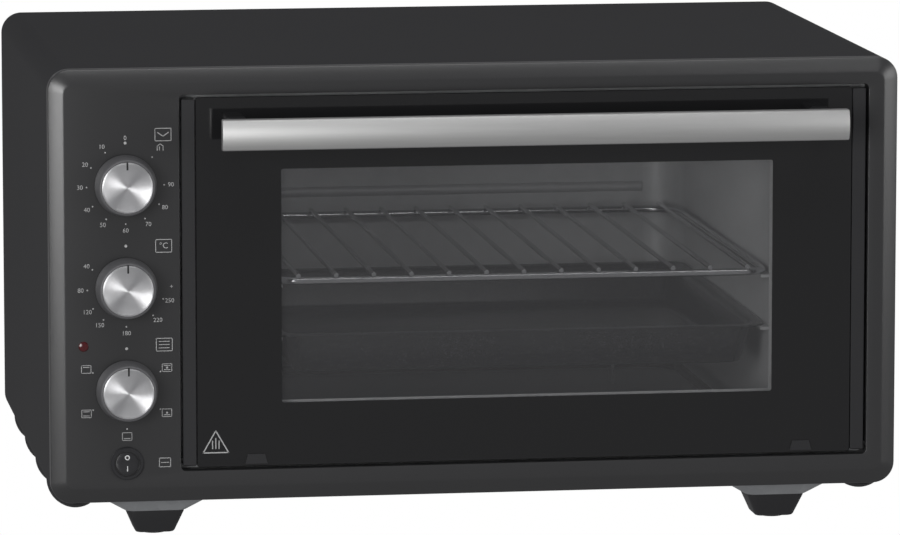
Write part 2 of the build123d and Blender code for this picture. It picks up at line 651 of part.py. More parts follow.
def fan_shaft():
    end = SHIELD_X - SHIELD_SHEET - MOTOR_STANDOFF - MOTOR_LENGTH
    x0, x1 = end + MOTOR_END_WALL + MOTOR_SHAFT_GAP, CX0 + FAN_COVER_DEPTH - FAN_COVER_GAP
    return rod_x(FAN_DEPTH, FAN_HEIGHT, x0, x1, FAN_SHAFT_RADIUS)


def fan_blade():
    x0, x1 = CX0 + FAN_HUB_GAP, CX0 + FAN_COVER_DEPTH - FAN_COVER_GAP
    hub = rod_x(FAN_DEPTH, FAN_HEIGHT, x0, x1, FAN_HUB_RADIUS)
    middle = (x0 + x1) / 2
    sheet = Box(*FAN_VANE, FAN_RADIUS - FAN_VANE_ROOT)
    vane = Pos(0, 0, FAN_RADIUS / 2 + FAN_VANE_LIFT) * Rot(0, 0, FAN_VANE_ANGLE) * sheet
    for index in range(FAN_BLADES):
        hub += Pos(middle, FAN_DEPTH, FAN_HEIGHT) * Rot(360 / FAN_BLADES * index, 0, 0) * vane
    return hub - rod_x(FAN_DEPTH, FAN_HEIGHT, x0 - CUT_PAST, x1 + CUT_PAST, FAN_SHAFT_RADIUS)


def fan_cover():
    x1 = CX0 + FAN_COVER_DEPTH
    cover = rod_x(FAN_DEPTH, FAN_HEIGHT, CX0, x1, FAN_COVER_RADIUS)
    cover -= rod_x(FAN_DEPTH, FAN_HEIGHT, CX0 - CUT_PAST, x1 - FAN_COVER_SHEET,
                   FAN_COVER_RADIUS - FAN_COVER_SHEET)
    for index in range(FAN_SLOTS):
        off = (index - (FAN_SLOTS - 1) / 2) * FAN_SLOT_PITCH
        half = math.sqrt((FAN_COVER_RADIUS - FAN_SLOT_MARGIN) ** 2 - off ** 2)
        y = FAN_DEPTH + off
        cover -= block(x1 - FAN_COVER_SHEET - CUT_PAST, x1 + CUT_PAST, y - FAN_SLOT_HALF,
                       y + FAN_SLOT_HALF, FAN_HEIGHT - half, FAN_HEIGHT + half)
    return cover


def thermostat_bulb():
    return rod_x(BULB_Y, BULB_Z, SHIELD_X - BULB_TAIL, CX0 + BULB_REACH, BULB_RADIUS)


def wire_rack():
    x0 = CX0 + RACK_SIDE_GAP + RACK_RAIL_RADIUS
    x1 = CX1 - RACK_SIDE_GAP - RACK_RAIL_RADIUS
    y0, y1 = RACK_FRONT, CY1 - RACK_REAR_GAP
    centre = Pos((x0 + x1) / 2, (y0 + y1) / 2, RACK_HEIGHT)
    # the rear corners follow the cavity's rounded corners
    ring = Rectangle(x1 - x0, y1 - y0)
    corners = ring.vertices().group_by(Axis.Y)
    ring = fillet(corners[0], RACK_CORNER)
    ring = fillet(ring.vertices().group_by(Axis.Y)[-1], CAVITY_CORNER)
    path = (centre * ring).wire()
    profile = Plane(origin=path @ 0, z_dir=path % 0) * Circle(RACK_RAIL_RADIUS)
    rack = sweep(profile, path=path)
    pitch = (x1 - x0) / RACK_WIRES
    z = RACK_HEIGHT + RACK_RAIL_RADIUS + RACK_WIRE_RADIUS - RACK_WELD
    for index in range(RACK_WIRES):
        x = x0 + pitch * (index + 0.5)
        rack += rod_y(x, z, y0 - RACK_WIRE_END, y1 + RACK_WIRE_END, RACK_WIRE_RADIUS)
    return rack


def baking_tray():
    x0, x1 = CX0 + TRAY_SIDE_GAP, CX1 - TRAY_SIDE_GAP
    y0, y1 = TRAY_FRONT, CY1 - TRAY_REAR_GAP
    width, length = x1 - x0, y1 - y0
    centre = Pos((x0 + x1) / 2, (y0 + y1) / 2, 0)

    def shape(margin, z):
        radius = max(TRAY_CORNER - margin / 2, TRAY_LEAST_CORNER)
        return centre * Pos(0, 0, z) * RectangleRounded(width - 2 * margin, length - 2 * margin,
                                                        radius)
    rim = extrude(shape(0, TRAY_RIM - TRAY_SHEET), TRAY_SHEET)
    bottom = TRAY_RIM - TRAY_DEPTH
    outside = loft([shape(TRAY_RIM_WIDTH + TRAY_TAPER, bottom),
                    shape(TRAY_RIM_WIDTH, TRAY_RIM)])
    inside = loft([shape(TRAY_RIM_WIDTH + TRAY_TAPER + TRAY_SHEET, bottom + TRAY_SHEET),
                   shape(TRAY_RIM_WIDTH + TRAY_SHEET, TRAY_RIM + HAIR)])
    return rim + outside - inside


# ---------------------------------------------------------------- controls
def knob_skirt(z):
    front = -KNOB_GAP - KNOB_HEIGHT
    skirt = turned([(0, -KNOB_GAP), (KNOB_DIAMETER / 2, -KNOB_GAP),
                    (KNOB_DIAMETER / 2, -KNOB_GAP - SKIRT_FOOT), (KNOB_TOP_DIAMETER / 2, front),
                    (0, front)], KNOB_X, z)
    inner = KNOB_TOP_DIAMETER / 2 - KNOB_WALL
    skirt -= rod_y(KNOB_X, z, CAP_BACK + KNOB_WALL, 0, inner)
    skirt += rod_y(KNOB_X, z, CAP_BACK, -KNOB_GAP - KNOB_BOSS_GAP, SHAFT_RADIUS + KNOB_BOSS)
    skirt -= rod_y(KNOB_X, z, front - CUT_PAST, CAP_BACK, CAP_DIAMETER / 2)
    return skirt - rod_y(KNOB_X, z, CAP_BACK + KNOB_WALL, 0, SHAFT_RADIUS)


def knob_cap(z):
    front = CAP_BACK - CAP_SEAT - CAP_PROUD
    radius = CAP_DIAMETER / 2
    dish = front + CAP_DISH
    return turned([(0, CAP_BACK), (radius, CAP_BACK), (radius, front + CAP_EDGE),
                   (radius - CAP_EDGE, front), (radius - CAP_RIM[0], front),
                   (radius - CAP_RIM[1], dish), (0, dish)], KNOB_X, z)


def control_shaft(z):
    return rod_y(KNOB_X, z, CAP_BACK + KNOB_WALL, CAP_BACK + KNOB_WALL + SHAFT_LENGTH, SHAFT_RADIUS)


def control_unit(z, round_body):
    y1 = UNIT_FACE + UNIT_DEPTH
    half = UNIT_SIZE / 2
    if round_body:
        unit = rod_y(KNOB_X, z, UNIT_FACE, y1, half)
    else:
        unit = slab(KNOB_X - half, KNOB_X + half, z - half, z + half, UNIT_FACE, y1, UNIT_CORNER)
    unit += rod_y(KNOB_X, z, FRAME_SHEET + BUSH_START, UNIT_FACE, BUSH_RADIUS)
    shaft_end = CAP_BACK + KNOB_WALL + SHAFT_LENGTH
    unit -= rod_y(KNOB_X, z, 0, shaft_end + SHAFT_END_GAP, SHAFT_RADIUS + RUNNING_CLEARANCE)
    for side in (-1, 1):
        hole_z, tab_z = z + side * half * UNIT_HOLE_SHARE, z + side * TAB_OFFSET
        unit -= rod_y(KNOB_X, hole_z, UNIT_FACE - CUT_PAST, UNIT_FACE + UNIT_HOLE_DEPTH,
                      SMALL_SCREW_RADIUS)
        unit += block(KNOB_X - TAB_HALF_WIDTH, KNOB_X + TAB_HALF_WIDTH, y1, y1 + TAB_LENGTH,
                      tab_z - TAB_HALF_SHEET, tab_z + TAB_HALF_SHEET)
    return unit


def control_bracket():
    half = UNIT_SIZE / 2
    low, high = KNOBS["selector"] - half, KNOBS["timer"] + half
    y0 = UNIT_FACE - BRACKET_SHEET
    x0, x1 = KNOB_X - half + BRACKET_INSET, KNOB_X + half - BRACKET_INSET
    plate = block(x0, x1, y0, UNIT_FACE, low, high)
    plate += block(x0, x1, FRAME_SHEET, UNIT_FACE, high - BRACKET_END, high)
    plate += block(x0, x1, FRAME_SHEET, UNIT_FACE, low, low + BRACKET_END)
    for z in KNOBS.values():
        plate -= rod_y(KNOB_X, z, 0, UNIT_FACE + CUT_PAST, BUSH_RADIUS)
        for side in (-1, 1):
            hole_z = z + side * half * UNIT_HOLE_SHARE
            plate -= rod_y(KNOB_X, hole_z, y0 - CUT_PAST, UNIT_FACE + CUT_PAST, SMALL_SCREW_RADIUS)
    return plate


def control_screws():
    y0 = UNIT_FACE - BRACKET_SHEET
    radius, height = SMALL_SCREW_HEAD
    screws = []
    for z in KNOBS.values():
        for side in (-1, 1):
            place = z + side * UNIT_SIZE / 2 * UNIT_HOLE_SHARE
            screws.append(rod_y(KNOB_X, place, y0 - height, y0, radius) + rod_y(
                KNOB_X, place, y0, UNIT_FACE + SMALL_SCREW_GRIP, SMALL_SCREW_RADIUS))
    return Compound(screws)


def switch_housing():
    z = SWITCH_HEIGHT
    housing = rod_y(KNOB_X, z, -BEZEL_PROUD, 0, BEZEL_DIAMETER / 2)
    housing = chamfer(housing.edges().group_by(Axis.Y)[0], BEZEL_CHAMFER)
    housing += rod_y(KNOB_X, z, 0, BARREL_LENGTH, BARREL_RADIUS)
    housing -= rod_y(KNOB_X, z, -BEZEL_PROUD - CUT_PAST, ROCKER_AXIS + ROCKER_SEAT, ROCKER_BORE)
    reach = ROCKER_BORE + ROCKER_PIN_SEAT
    housing -= rod_x(ROCKER_AXIS, z, KNOB_X - reach, KNOB_X + reach, ROCKER_PIN + RUNNING_CLEARANCE)
    for offset in SWITCH_TABS:
        x = KNOB_X + offset
        housing += block(x - TAB_HALF_SHEET, x + TAB_HALF_SHEET, BARREL_LENGTH,
                         BARREL_LENGTH + TAB_LENGTH, z - TAB_HALF_WIDTH, z + TAB_HALF_WIDTH)
    return housing


def switch_rocker():
    """Rocker with a shallow V face, resting with its upper half pressed."""
    edge, heel = ROCKER_RADIUS * ROCKER_EDGE_SHARE, ROCKER_HEEL_HALF
    profile = make_face(Polyline((ROCKER_RIDGE, edge), (ROCKER_VALLEY, 0), (ROCKER_RIDGE, -edge),
                                 (ROCKER_BACK, -edge), (ROCKER_HEEL, -heel), (ROCKER_HEEL, heel),
                                 (ROCKER_BACK, edge), close=True))
    body = extrude(Plane.YZ.offset(-ROCKER_RADIUS) * profile, 2 * ROCKER_RADIUS)
    body &= Rot(90, 0, 0) * Cylinder(ROCKER_RADIUS, 4 * ROCKER_RADIUS)
    body += Rot(0, 90, 0) * Cylinder(ROCKER_PIN, 2 * (ROCKER_BORE + ROCKER_PIN_END))
    return Pos(KNOB_X, ROCKER_AXIS, SWITCH_HEIGHT) * Rot(-ROCKER_TILT, 0, 0) * body


def lamp_lens():
    dome = [(share * LAMP_RADIUS, y) for share, y in LAMP_DOME]
    return turned([(0, LAMP_SEAT), (LAMP_RADIUS, LAMP_SEAT)] + dome, LAMP_X, LAMP_HEIGHT)


def lamp_body():
    body = rod_y(LAMP_X, LAMP_HEIGHT, FRAME_SHEET, LAMP_BODY_END, LAMP_RADIUS + LAMP_BODY_WALL)
    return body - rod_y(LAMP_X, LAMP_HEIGHT, 0, LAMP_SEAT, LAMP_RADIUS)


def terminal_block():
    width, depth, height = TERMINAL_SIZE
    radius, hole_depth = TERMINAL_HOLE
    y = CASE_DEPTH - TERMINAL_FROM_REAR
    top = CASING_SHEET * 2 + height
    base = block(KNOB_X - width / 2, KNOB_X + width / 2, y, y + depth, CASING_SHEET * 2, top)
    return base - [rod_z(KNOB_X + step * TERMINAL_SPACING, y + depth / 2, top - hole_depth,
                         top + CUT_PAST, radius) for step in (-1, 0, 1)]


# ---------------------------------------------------------------- door
def door_glass():
    x0, x1 = DX0 + TRIM_WIDTH + TRIM_GLASS_GAP, DX1 - TRIM_WIDTH - TRIM_GLASS_GAP
    glass = slab(x0, x1, RZ0 + GLASS_END_GAP, RZ1 - GLASS_END_GAP, GLASS_Y0, GLASS_Y1,
                 GLASS_CORNER)
    for x in POSTS:
        glass -= rod_y(x, HANDLE_Z, 0, GLASS_Y1 + CUT_PAST, SCREW_RADIUS)
    return glass


def pin_sockets():
    """Blind holes for the hinge pins in both lower corners of the door."""
    return [rod_x(HINGE_Y, HINGE_Z, DX0 - CUT_PAST, DX0 + PIN_IN_DOOR, PIN_RADIUS),
            rod_x(HINGE_Y, HINGE_Z, DX1 - PIN_IN_DOOR, DX1 + CUT_PAST, PIN_RADIUS)]


def door_trim(side):
    x0, x1 = (DX0, DX0 + TRIM_WIDTH) if side < 0 else (DX1 - TRIM_WIDTH, DX1)
    trim = slab(x0, x1, TZ0, TZ1, DOOR_FACE, GLASS_Y1, TRIM_CORNER)
    trim = chamfer(trim.faces().sort_by(Axis.Y)[0].edges(), TRIM_CHAMFER)
    return trim - pin_sockets()


def door_inner_frame():
    t = INNER_SHEET
    x0, x1 = DX0 + INNER_FRAME_INSET, DX1 - INNER_FRAME_INSET
    frame = slab(x0, x1, TZ0, TZ1, GLASS_Y1, DOOR_BACK, TRIM_CORNER)
    frame -= slab(x0 + t, x1 - t, TZ0 + t, TZ1 - t, GLASS_Y1 + t, DOOR_BACK - t)
    lap = TRIM_WIDTH + INNER_FRAME_LAP
    frame -= slab(x0 + lap, x1 - lap, TZ0 + lap, TZ1 - lap, GLASS_Y1 - CUT_PAST, GLASS_Y1 + t + HAIR)
    frame -= slab(WX0, WX1, WZ0, WZ1, DOOR_BACK - 2 * t, DOOR_BACK + CUT_PAST, WINDOW_RADIUS)
    return frame - pin_sockets()


def door_inner_glass():
    y1 = DOOR_BACK - INNER_SHEET
    lap = INNER_GLASS_LAP
    return slab(WX0 - lap, WX1 + lap, WZ0 - lap, WZ1 + lap, y1 - INNER_GLASS_THICKNESS, y1,
                INNER_GLASS_CORNER)


def glass_clips():
    """Small tapered clips that carry the lower edge of the front glass."""
    low, high = (RZ0 + GLASS_END_GAP + up for up in GLASS_CLIP_HEIGHTS)
    wide, narrow = (width / 2 for width in GLASS_CLIP_WIDTHS)
    clips = []
    for x in (WX0 - GLASS_CLIP_LEFT, WX1 + GLASS_CLIP_RIGHT):
        points = [(x - wide, low), (x + wide, low), (x + narrow, high), (x - narrow, high)]
        face = make_face(Polyline(*points, close=True))
        clips.append(extrude(Plane.XZ.offset(-GLASS_Y0) * face, GLASS_CLIP_SHEET))
    return Compound(clips)


def hinge_pins():
    tail = FRAME_SHEET + HINGE_BRACKET + PIN_TAIL
    return Compound([
        rod_x(HINGE_Y, HINGE_Z, RX0 - tail, DX0 + PIN_IN_DOOR, PIN_RADIUS),
        rod_x(HINGE_Y, HINGE_Z, DX1 - PIN_IN_DOOR, RX1 + tail, PIN_RADIUS)])


def hinge_brackets():
    bore = PIN_RADIUS + RUNNING_CLEARANCE
    plates = []
    for x0 in (RX0 - FRAME_SHEET - HINGE_BRACKET, RX1 + FRAME_SHEET):
        x1 = x0 + HINGE_BRACKET
        plate = block(x0, x1, FRAME_SHEET, RECESS_DEPTH, RZ0, RZ0 + HINGE_BRACKET_HEIGHT)
        plates.append(plate - rod_x(HINGE_Y, HINGE_Z, x0 - CUT_PAST, x1 + CUT_PAST, bore))
    return Compound(plates)


def hinge_springs():
    pitch = SPRING_WIRE * SPRING_PITCH
    coils = []
    for x in (RX0 - FRAME_SHEET - HINGE_BRACKET - SPRING_TURNS * pitch - SPRING_WIRE / 2,
              RX1 + FRAME_SHEET + HINGE_BRACKET + SPRING_WIRE / 2):
        path = Helix(pitch=pitch, height=SPRING_TURNS * pitch, radius=SPRING_RADIUS)
        coil = sweep(Plane(origin=path @ 0, z_dir=path % 0) * Circle(SPRING_WIRE / 2), path=path)
        coils.append(Pos(x, HINGE_Y, HINGE_Z) * Rot(0, 90, 0) * coil)
    return Compound(coils)


def door_arm(x):
    """Curved stay, centred on the hinge axis, that slides through a slot in the cavity flange."""
    start = math.degrees(math.acos((DOOR_BACK - HINGE_Y) / ARM_RADIUS))
    outer, inner = ARM_RADIUS + ARM_WIDTH / 2, ARM_RADIUS - ARM_WIDTH / 2
    ring = Circle(outer) - Circle(inner)
    end = -ARM_END_ANGLE
    reach = ARM_RADIUS * 3     # well past the ring
    corners = [(0, 0)] + [(reach * math.cos(math.radians(a)), reach * math.sin(math.radians(a)))
                          for a in (end, (start + end) / 2, start)]
    strap = ring & make_face(Polyline(*corners, close=True))
    arm = extrude(Plane((x, HINGE_Y, HINGE_Z), x_dir=(0, 1, 0), z_dir=(1, 0, 0)) * strap, ARM_SHEET)
    arm -= block(x - CUT_PAST, x + ARM_SHEET + CUT_PAST, 0, DOOR_BACK, 0, HEIGHT)
    z = HINGE_Z + ARM_RADIUS
    below, above = ARM_FOOT_ENDS
    return arm + block(x - ARM_FOOT_SIDE, x + ARM_SHEET + ARM_FOOT_SIDE, DOOR_BACK,
                       DOOR_BACK + ARM_FOOT_SHEET, z - below, z + above)


def handle_bar():
    half = HANDLE_HEIGHT / 2
    z = HANDLE_Z
    curve = ThreePointArc((BAR_BACK, z - half), (-HANDLE_REACH, z), (BAR_BACK, z + half))
    section = make_face(curve + Line((BAR_BACK, z + half), (BAR_BACK, z - half)))
    bar = extrude(Plane.YZ.offset(HANDLE_X0) * section, HANDLE_X1 - HANDLE_X0)
    channel = HANDLE_CHANNEL / 2
    return bar - block(HANDLE_X0 + HANDLE_END_WALL, HANDLE_X1 - HANDLE_END_WALL,
                       BAR_BACK - HANDLE_CHANNEL_DEPTH, BAR_BACK + CUT_PAST, z - channel, z + channel)


def handle_bracket(x):
    z = HANDLE_Z
    x0, x1 = x - POST_WIDTH / 2, x + POST_WIDTH / 2
    post = slab(x0, x1, z - POST_HEIGHT / 2, z + POST_HEIGHT / 2, BAR_BACK, GLASS_Y0, POST_CORNER)
    post += slab(x0, x1, z - HANDLE_CHANNEL / 2, z + HANDLE_CHANNEL / 2,
                 BAR_BACK - HANDLE_CHANNEL_DEPTH, BAR_BACK)
    return post - rod_y(x, z, GLASS_Y0 - SCREW_DEPTH, GLASS_Y0 + CUT_PAST, SCREW_RADIUS)


def handle_screws():
    return Compound([rod_y(x, HANDLE_Z, GLASS_Y1, GLASS_Y1 + SCREW_HEAD, SCREW_HEAD_RADIUS)
                     + rod_y(x, HANDLE_Z, GLASS_Y0 - SCREW_DEPTH, GLASS_Y1, SCREW_RADIUS)
                     for x in POSTS])


# ---------------------------------------------------------------- write every node
def build():
    nodes = {
        "front_frame": front_frame(),
        "outer_casing": outer_casing(),
        "rear_panel": rear_panel(),
        "bottom_pan": bottom_pan(),
        "foot_cups": foot_cups(),
        "casing_screws": casing_screws(),
        "cord_gland": cord_gland(),
        "foot_pads": foot_pads(),
        "foot_screws": foot_screws(),
        "cavity_shell": cavity_shell(),
        "heat_shield": heat_shield(),
        "heater_clips": heater_clips(),
        "heater_insulators": heater_insulators(),
        "fan_motor": fan_motor(),
        "fan_shaft": fan_shaft(),
        "fan_blade": fan_blade(),
        "fan_cover": fan_cover(),
        "thermostat_bulb": thermostat_bulb(),
        "wire_rack": wire_rack(),
        "baking_tray": baking_tray(),
        "control_bracket": control_bracket(),
        "control_screws": control_screws(),
        "switch_housing": switch_housing(),
        "switch_rocker": switch_rocker(),
        "lamp_lens": lamp_lens(),
        "lamp_body": lamp_body(),
        "terminal_block": terminal_block(),
        "door_glass": door_glass(),
        "door_inner_frame": door_inner_frame(),
        "door_inner_glass": door_inner_glass(),
        "glass_clips": glass_clips(),
        "hinge_pins": hinge_pins(),
        "hinge_brackets": hinge_brackets(),
        "hinge_springs": hinge_springs(),
        "handle_bar": handle_bar(),
        "handle_screws": handle_screws(),
    }
    for name, (x, y) in FEET.items():
        nodes["foot_" + name] = foot(x, y)
    for name, z in HEATERS.items():
        nodes["heater_" + name] = heater(z)
    for name, z in KNOBS.items():
        nodes["knob_skirt_" + name] = knob_skirt(z)
        nodes["knob_cap_" + name] = knob_cap(z)
        nodes["shaft_" + name] = control_shaft(z)
        nodes["unit_" + name] = control_unit(z, name == "thermostat")
    for index, name in enumerate(("left", "right")):
        nodes["door_trim_" + name] = door_trim(2 * index - 1)
        nodes["door_arm_" + name] = door_arm(ARMS[index])
        nodes["handle_bracket_" + name] = handle_bracket(POSTS[index])
    return nodes


os.makedirs("parts", exist_ok=True)
for node, shape in build().items():
    export_step(PLACE * shape, os.path.join("parts", node + ".step"))
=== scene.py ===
import math

import bmesh
import bpy
from mathutils import Matrix, Vector


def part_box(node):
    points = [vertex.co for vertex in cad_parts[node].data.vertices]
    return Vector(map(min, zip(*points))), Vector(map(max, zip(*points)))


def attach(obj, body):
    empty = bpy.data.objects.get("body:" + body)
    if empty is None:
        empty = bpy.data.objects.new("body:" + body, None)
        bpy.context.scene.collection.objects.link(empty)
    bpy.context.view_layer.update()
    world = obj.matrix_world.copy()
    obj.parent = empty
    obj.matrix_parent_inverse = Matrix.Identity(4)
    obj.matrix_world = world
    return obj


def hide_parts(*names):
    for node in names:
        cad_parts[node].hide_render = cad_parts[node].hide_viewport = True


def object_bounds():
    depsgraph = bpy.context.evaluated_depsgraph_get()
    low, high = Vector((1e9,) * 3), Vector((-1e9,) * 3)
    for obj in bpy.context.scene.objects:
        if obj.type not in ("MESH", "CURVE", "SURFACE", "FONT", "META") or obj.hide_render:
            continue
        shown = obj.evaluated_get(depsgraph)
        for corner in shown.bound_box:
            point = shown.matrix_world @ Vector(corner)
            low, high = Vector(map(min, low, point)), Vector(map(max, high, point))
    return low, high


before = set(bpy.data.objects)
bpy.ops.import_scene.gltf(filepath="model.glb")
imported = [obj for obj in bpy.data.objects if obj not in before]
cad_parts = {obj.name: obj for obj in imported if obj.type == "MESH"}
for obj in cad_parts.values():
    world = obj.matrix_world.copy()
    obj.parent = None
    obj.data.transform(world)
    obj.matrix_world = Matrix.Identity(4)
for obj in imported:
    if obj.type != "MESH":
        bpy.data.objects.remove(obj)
cad_low, cad_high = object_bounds()
MM = 0.001

# ---------------------------------------------------------------- camera, floor and studio light
# A long lens, a little to the left of the oven and above it.  Two tall soft boxes stand in front,
# a wide one hangs overhead, a small one draws a streak on the handle, and one lights the back.
CAMERA_YAW = math.radians(8.509)
CAMERA_PITCH = math.radians(8.032)
CAMERA_DISTANCE = 4.4995
CAMERA_LENS = 255.64
CAMERA_SENSOR = 36
CAMERA_REACH = 50
AIM_OFFSET = Vector((7.5, -1.4, -2.4)) * MM
PAPER_WHITE = "#FFFFFF"
ROOM_GREY = "#868688"
FLOOR_GREY = "#8E8E8F"
FLOOR_HALF = 12.0
# name, degrees round from the front, height above the oven, distance, width and height, watts
SOFT_BOXES = (
    ("left_box", -36, 0.1, 2.6, 1.2, 1.5, 42),
    ("right_box", 54, 0.3, 2.8, 1.1, 1.4, 15),
    ("top_box", 0, 2.6, 1.6, 2.4, 0.8, 16),
    ("streak_box", 24, 1.5, 2.2, 0.12, 0.3, 0.8),
    ("rear_box", 125, 0.9, 2.8, 1.4, 1.0, 5),
)


def linear(hex_colour, alpha=1.0):
    """An sRGB hex colour as the linear values that a shader takes."""
    values = [int(hex_colour[i:i + 2], 16) / 255 for i in (1, 3, 5)]
    return [v / 12.92 if v <= 0.04045 else ((v + 0.055) / 1.055) ** 2.4 for v in values] + [alpha]


def add_node(tree, kind, sockets=None, **settings):
    """Adds a node; a socket's value may be a number, a colour or another node's output."""
    node = tree.nodes.new(kind)
    for name, value in settings.items():
        setattr(node, name, value)
    for name, value in (sockets or {}).items():
        if isinstance(value, bpy.types.NodeSocket):
            tree.links.new(value, node.inputs[name])
        else:
            node.inputs[name].default_value = value
    return node


def new_material(name):
    material = bpy.data.materials.new(name)
    material.use_nodes = True
    material.node_tree.nodes.clear()
    return material, material.node_tree


def white_when_seen(tree, grey):
    """White to the camera, but this grey to the oven, so that paper and room light it softly."""
    seen = add_node(tree, "ShaderNodeLightPath").outputs["Is Camera Ray"]
    shade = add_node(tree, "ShaderNodeMix", {"Factor": seen, "A": linear(grey),
                                             "B": linear(PAPER_WHITE)}, data_type="RGBA")
    return shade.outputs["Result"]


def area_light(name, place, toward, width, tall, power):
    """Rectangular light at a place, facing another; width and tall are its sides."""
    light = bpy.data.lights.new(name, "AREA")
    light.shape = "RECTANGLE"
    light.size, light.size_y = width, tall
    light.energy = power
    lamp = bpy.data.objects.new(name, light)
    scene.collection.objects.link(lamp)
    lamp.location = place
    lamp.rotation_euler = (toward - place).to_track_quat("-Z", "Y").to_euler()


scene = bpy.context.scene
scene.view_settings.view_transform = "Standard"
aim = (cad_low + cad_high) / 2 + AIM_OFFSET
camera_data = bpy.data.cameras.new("camera")
camera_data.lens = CAMERA_LENS
camera_data.sensor_width = CAMERA_SENSOR
camera_data.clip_end = CAMERA_REACH
camera = bpy.data.objects.new("camera", camera_data)
scene.collection.objects.link(camera)
forward = Vector((math.sin(CAMERA_YAW) * math.cos(CAMERA_PITCH),
                  math.cos(CAMERA_YAW) * math.cos(CAMERA_PITCH), -math.sin(CAMERA_PITCH)))
camera.location = aim - forward * CAMERA_DISTANCE
camera.rotation_euler = (math.pi / 2 - CAMERA_PITCH, 0, -CAMERA_YAW)
scene.camera = camera

world = bpy.data.worlds.new("studio")
scene.world = world
world.use_nodes = True
sky = world.node_tree
sky.nodes.clear()
background = add_node(sky, "ShaderNodeBackground", {"Color": white_when_seen(sky, ROOM_GREY)})
add_node(sky, "ShaderNodeOutputWorld", {"Surface": background.outputs["Background"]})

for name, degrees, height, distance, width, tall, power in SOFT_BOXES:
    turn = math.radians(degrees)
    away = Vector((math.sin(turn) * distance, -math.cos(turn) * distance, height))
    area_light(name, aim + away, aim, width, tall, power)

floor_paint, tree = new_material("floor_paper")
shader = add_node(tree, "ShaderNodeBsdfPrincipled", {
    "Base Color": linear("#000000"), "Roughness": 0.9,
    "Emission Color": white_when_seen(tree, FLOOR_GREY), "Emission Strength": 1.0,
    "Specular IOR Level": 0.0})
add_node(tree, "ShaderNodeOutputMaterial", {"Surface": shader.outputs["BSDF"]})
floor_mesh = bpy.data.meshes.new("floor")
floor_mesh.from_pydata([(x * FLOOR_HALF, y * FLOOR_HALF, cad_low.z)
                        for x, y in ((-1, -1), (1, -1), (1, 1), (-1, 1))], [], [(0, 1, 2, 3)])
floor_mesh.materials.append(floor_paint)
floor = bpy.data.objects.new("floor", floor_mesh)
scene.collection.objects.link(floor)

# ---------------------------------------------------------------- outer casing and rear panel
# A wrap of 1 mm steel sheet, rolled at its edges and pressed with louvres along the lower sides,
# and a flat rear panel.  Both are powder coated in a matt dark grey with a fine even grain.
POWDER_GREY = "#29292B"
POWDER_GREY_LIGHT = "#2D2D2F"
POWDER_CLOUD = 110.0 * MM
POWDER_GRAIN = 0.9 * MM  # a real orange peel is about half as wide and wouldn't show
POWDER_DEPTH = 0.05 * MM
GLOSS_SPREAD = 0.05


def powder_coat(name, dark, light, roughness, specular):
    """Powder coat: epoxy polyester baked on steel.  Even, low gloss, with a fine orange peel."""
    material, tree = new_material(name)
    place = add_node(tree, "ShaderNodeTexCoord").outputs["Object"]
    cloud = add_node(tree, "ShaderNodeTexNoise", {"Vector": place, "Scale": 1 / POWDER_CLOUD,
                                                  "Detail": 3.0})
    grain = add_node(tree, "ShaderNodeTexNoise", {"Vector": place, "Scale": 1 / POWDER_GRAIN,
                                                  "Detail": 2.0})
    colour = add_node(tree, "ShaderNodeMix", {"Factor": cloud.outputs["Fac"], "A": linear(dark),
                                              "B": linear(light)}, data_type="RGBA")
    wear = add_node(tree, "ShaderNodeMapRange", {"Value": grain.outputs["Fac"],
                                                 "To Min": roughness - GLOSS_SPREAD,
                                                 "To Max": roughness + GLOSS_SPREAD})
    peel = add_node(tree, "ShaderNodeBump", {"Height": grain.outputs["Fac"],
                                             "Distance": POWDER_DEPTH, "Strength": 0.5})
    shader = add_node(tree, "ShaderNodeBsdfPrincipled", {
        "Base Color": colour.outputs["Result"], "Roughness": wear.outputs["Result"],
        "Normal": peel.outputs["Normal"], "Specular IOR Level": specular})
    add_node(tree, "ShaderNodeOutputMaterial", {"Surface": shader.outputs["BSDF"]})
    return material


def dress(name, material):
    """Gives a carried-over CAD node its material."""
    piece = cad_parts[name]
    piece.data.materials.clear()
    piece.data.materials.append(material)


casing_coat = powder_coat("powder_coat_casing", POWDER_GREY, POWDER_GREY_LIGHT, 0.62, 0.22)
dress("outer_casing", casing_coat)
dress("rear_panel", casing_coat)

# ---------------------------------------------------------------- front frame
# One deep-drawn steel pressing: a flat face with a wide bevel round it, a recess for the door and
# a lip behind that the casing slides over.  Its satin dark grey is glossier than the casing's.
FRAME_SIDE = 12.0 * MM
FRAME_SHEET = 1.6 * MM
BEVEL_WIDTH = 10.0 * MM
BEVEL_DEPTH = 4.0 * MM
BEVEL_CORNER = 6.0 * MM
DOOR_GAP = 1.6 * MM
BORDER_BELOW = 20.9 * MM
BORDER_ABOVE = 17.7 * MM
RECESS_DEPTH = 15.0 * MM
RECESS_CORNER = 3.5 * MM
LIP_INSET = 1.0 * MM
LIP_SHEET = 1.2 * MM
LIP_DEPTH = 24.0 * MM
OUTER_RADIUS = 14.5 * MM
EDGE_ROUND = 0.7 * MM
CORNER_STEPS = 10
ENAMEL_GREY = "#2A2A2B"
ENAMEL_GREY_LIGHT = "#2D2D2E"


def rounded_ring(low, high, radius, steps=CORNER_STEPS):
    """Points round a rectangle with rounded corners, from its low corner (u, v) to its high one."""
    points = []
    corners = ((high[0], high[1], 0), (low[0], high[1], 90), (low[0], low[1], 180),
               (high[0], low[1], 270))
    for u, v, start in corners:
        centre_u = u - radius if start in (0, 270) else u + radius
        centre_v = v - radius if start in (0, 90) else v + radius
        for step in range(steps + 1):
            turn = math.radians(start + 90 * step / steps)
            points.append((centre_u + radius * math.cos(turn), centre_v + radius * math.sin(turn)))
    return points


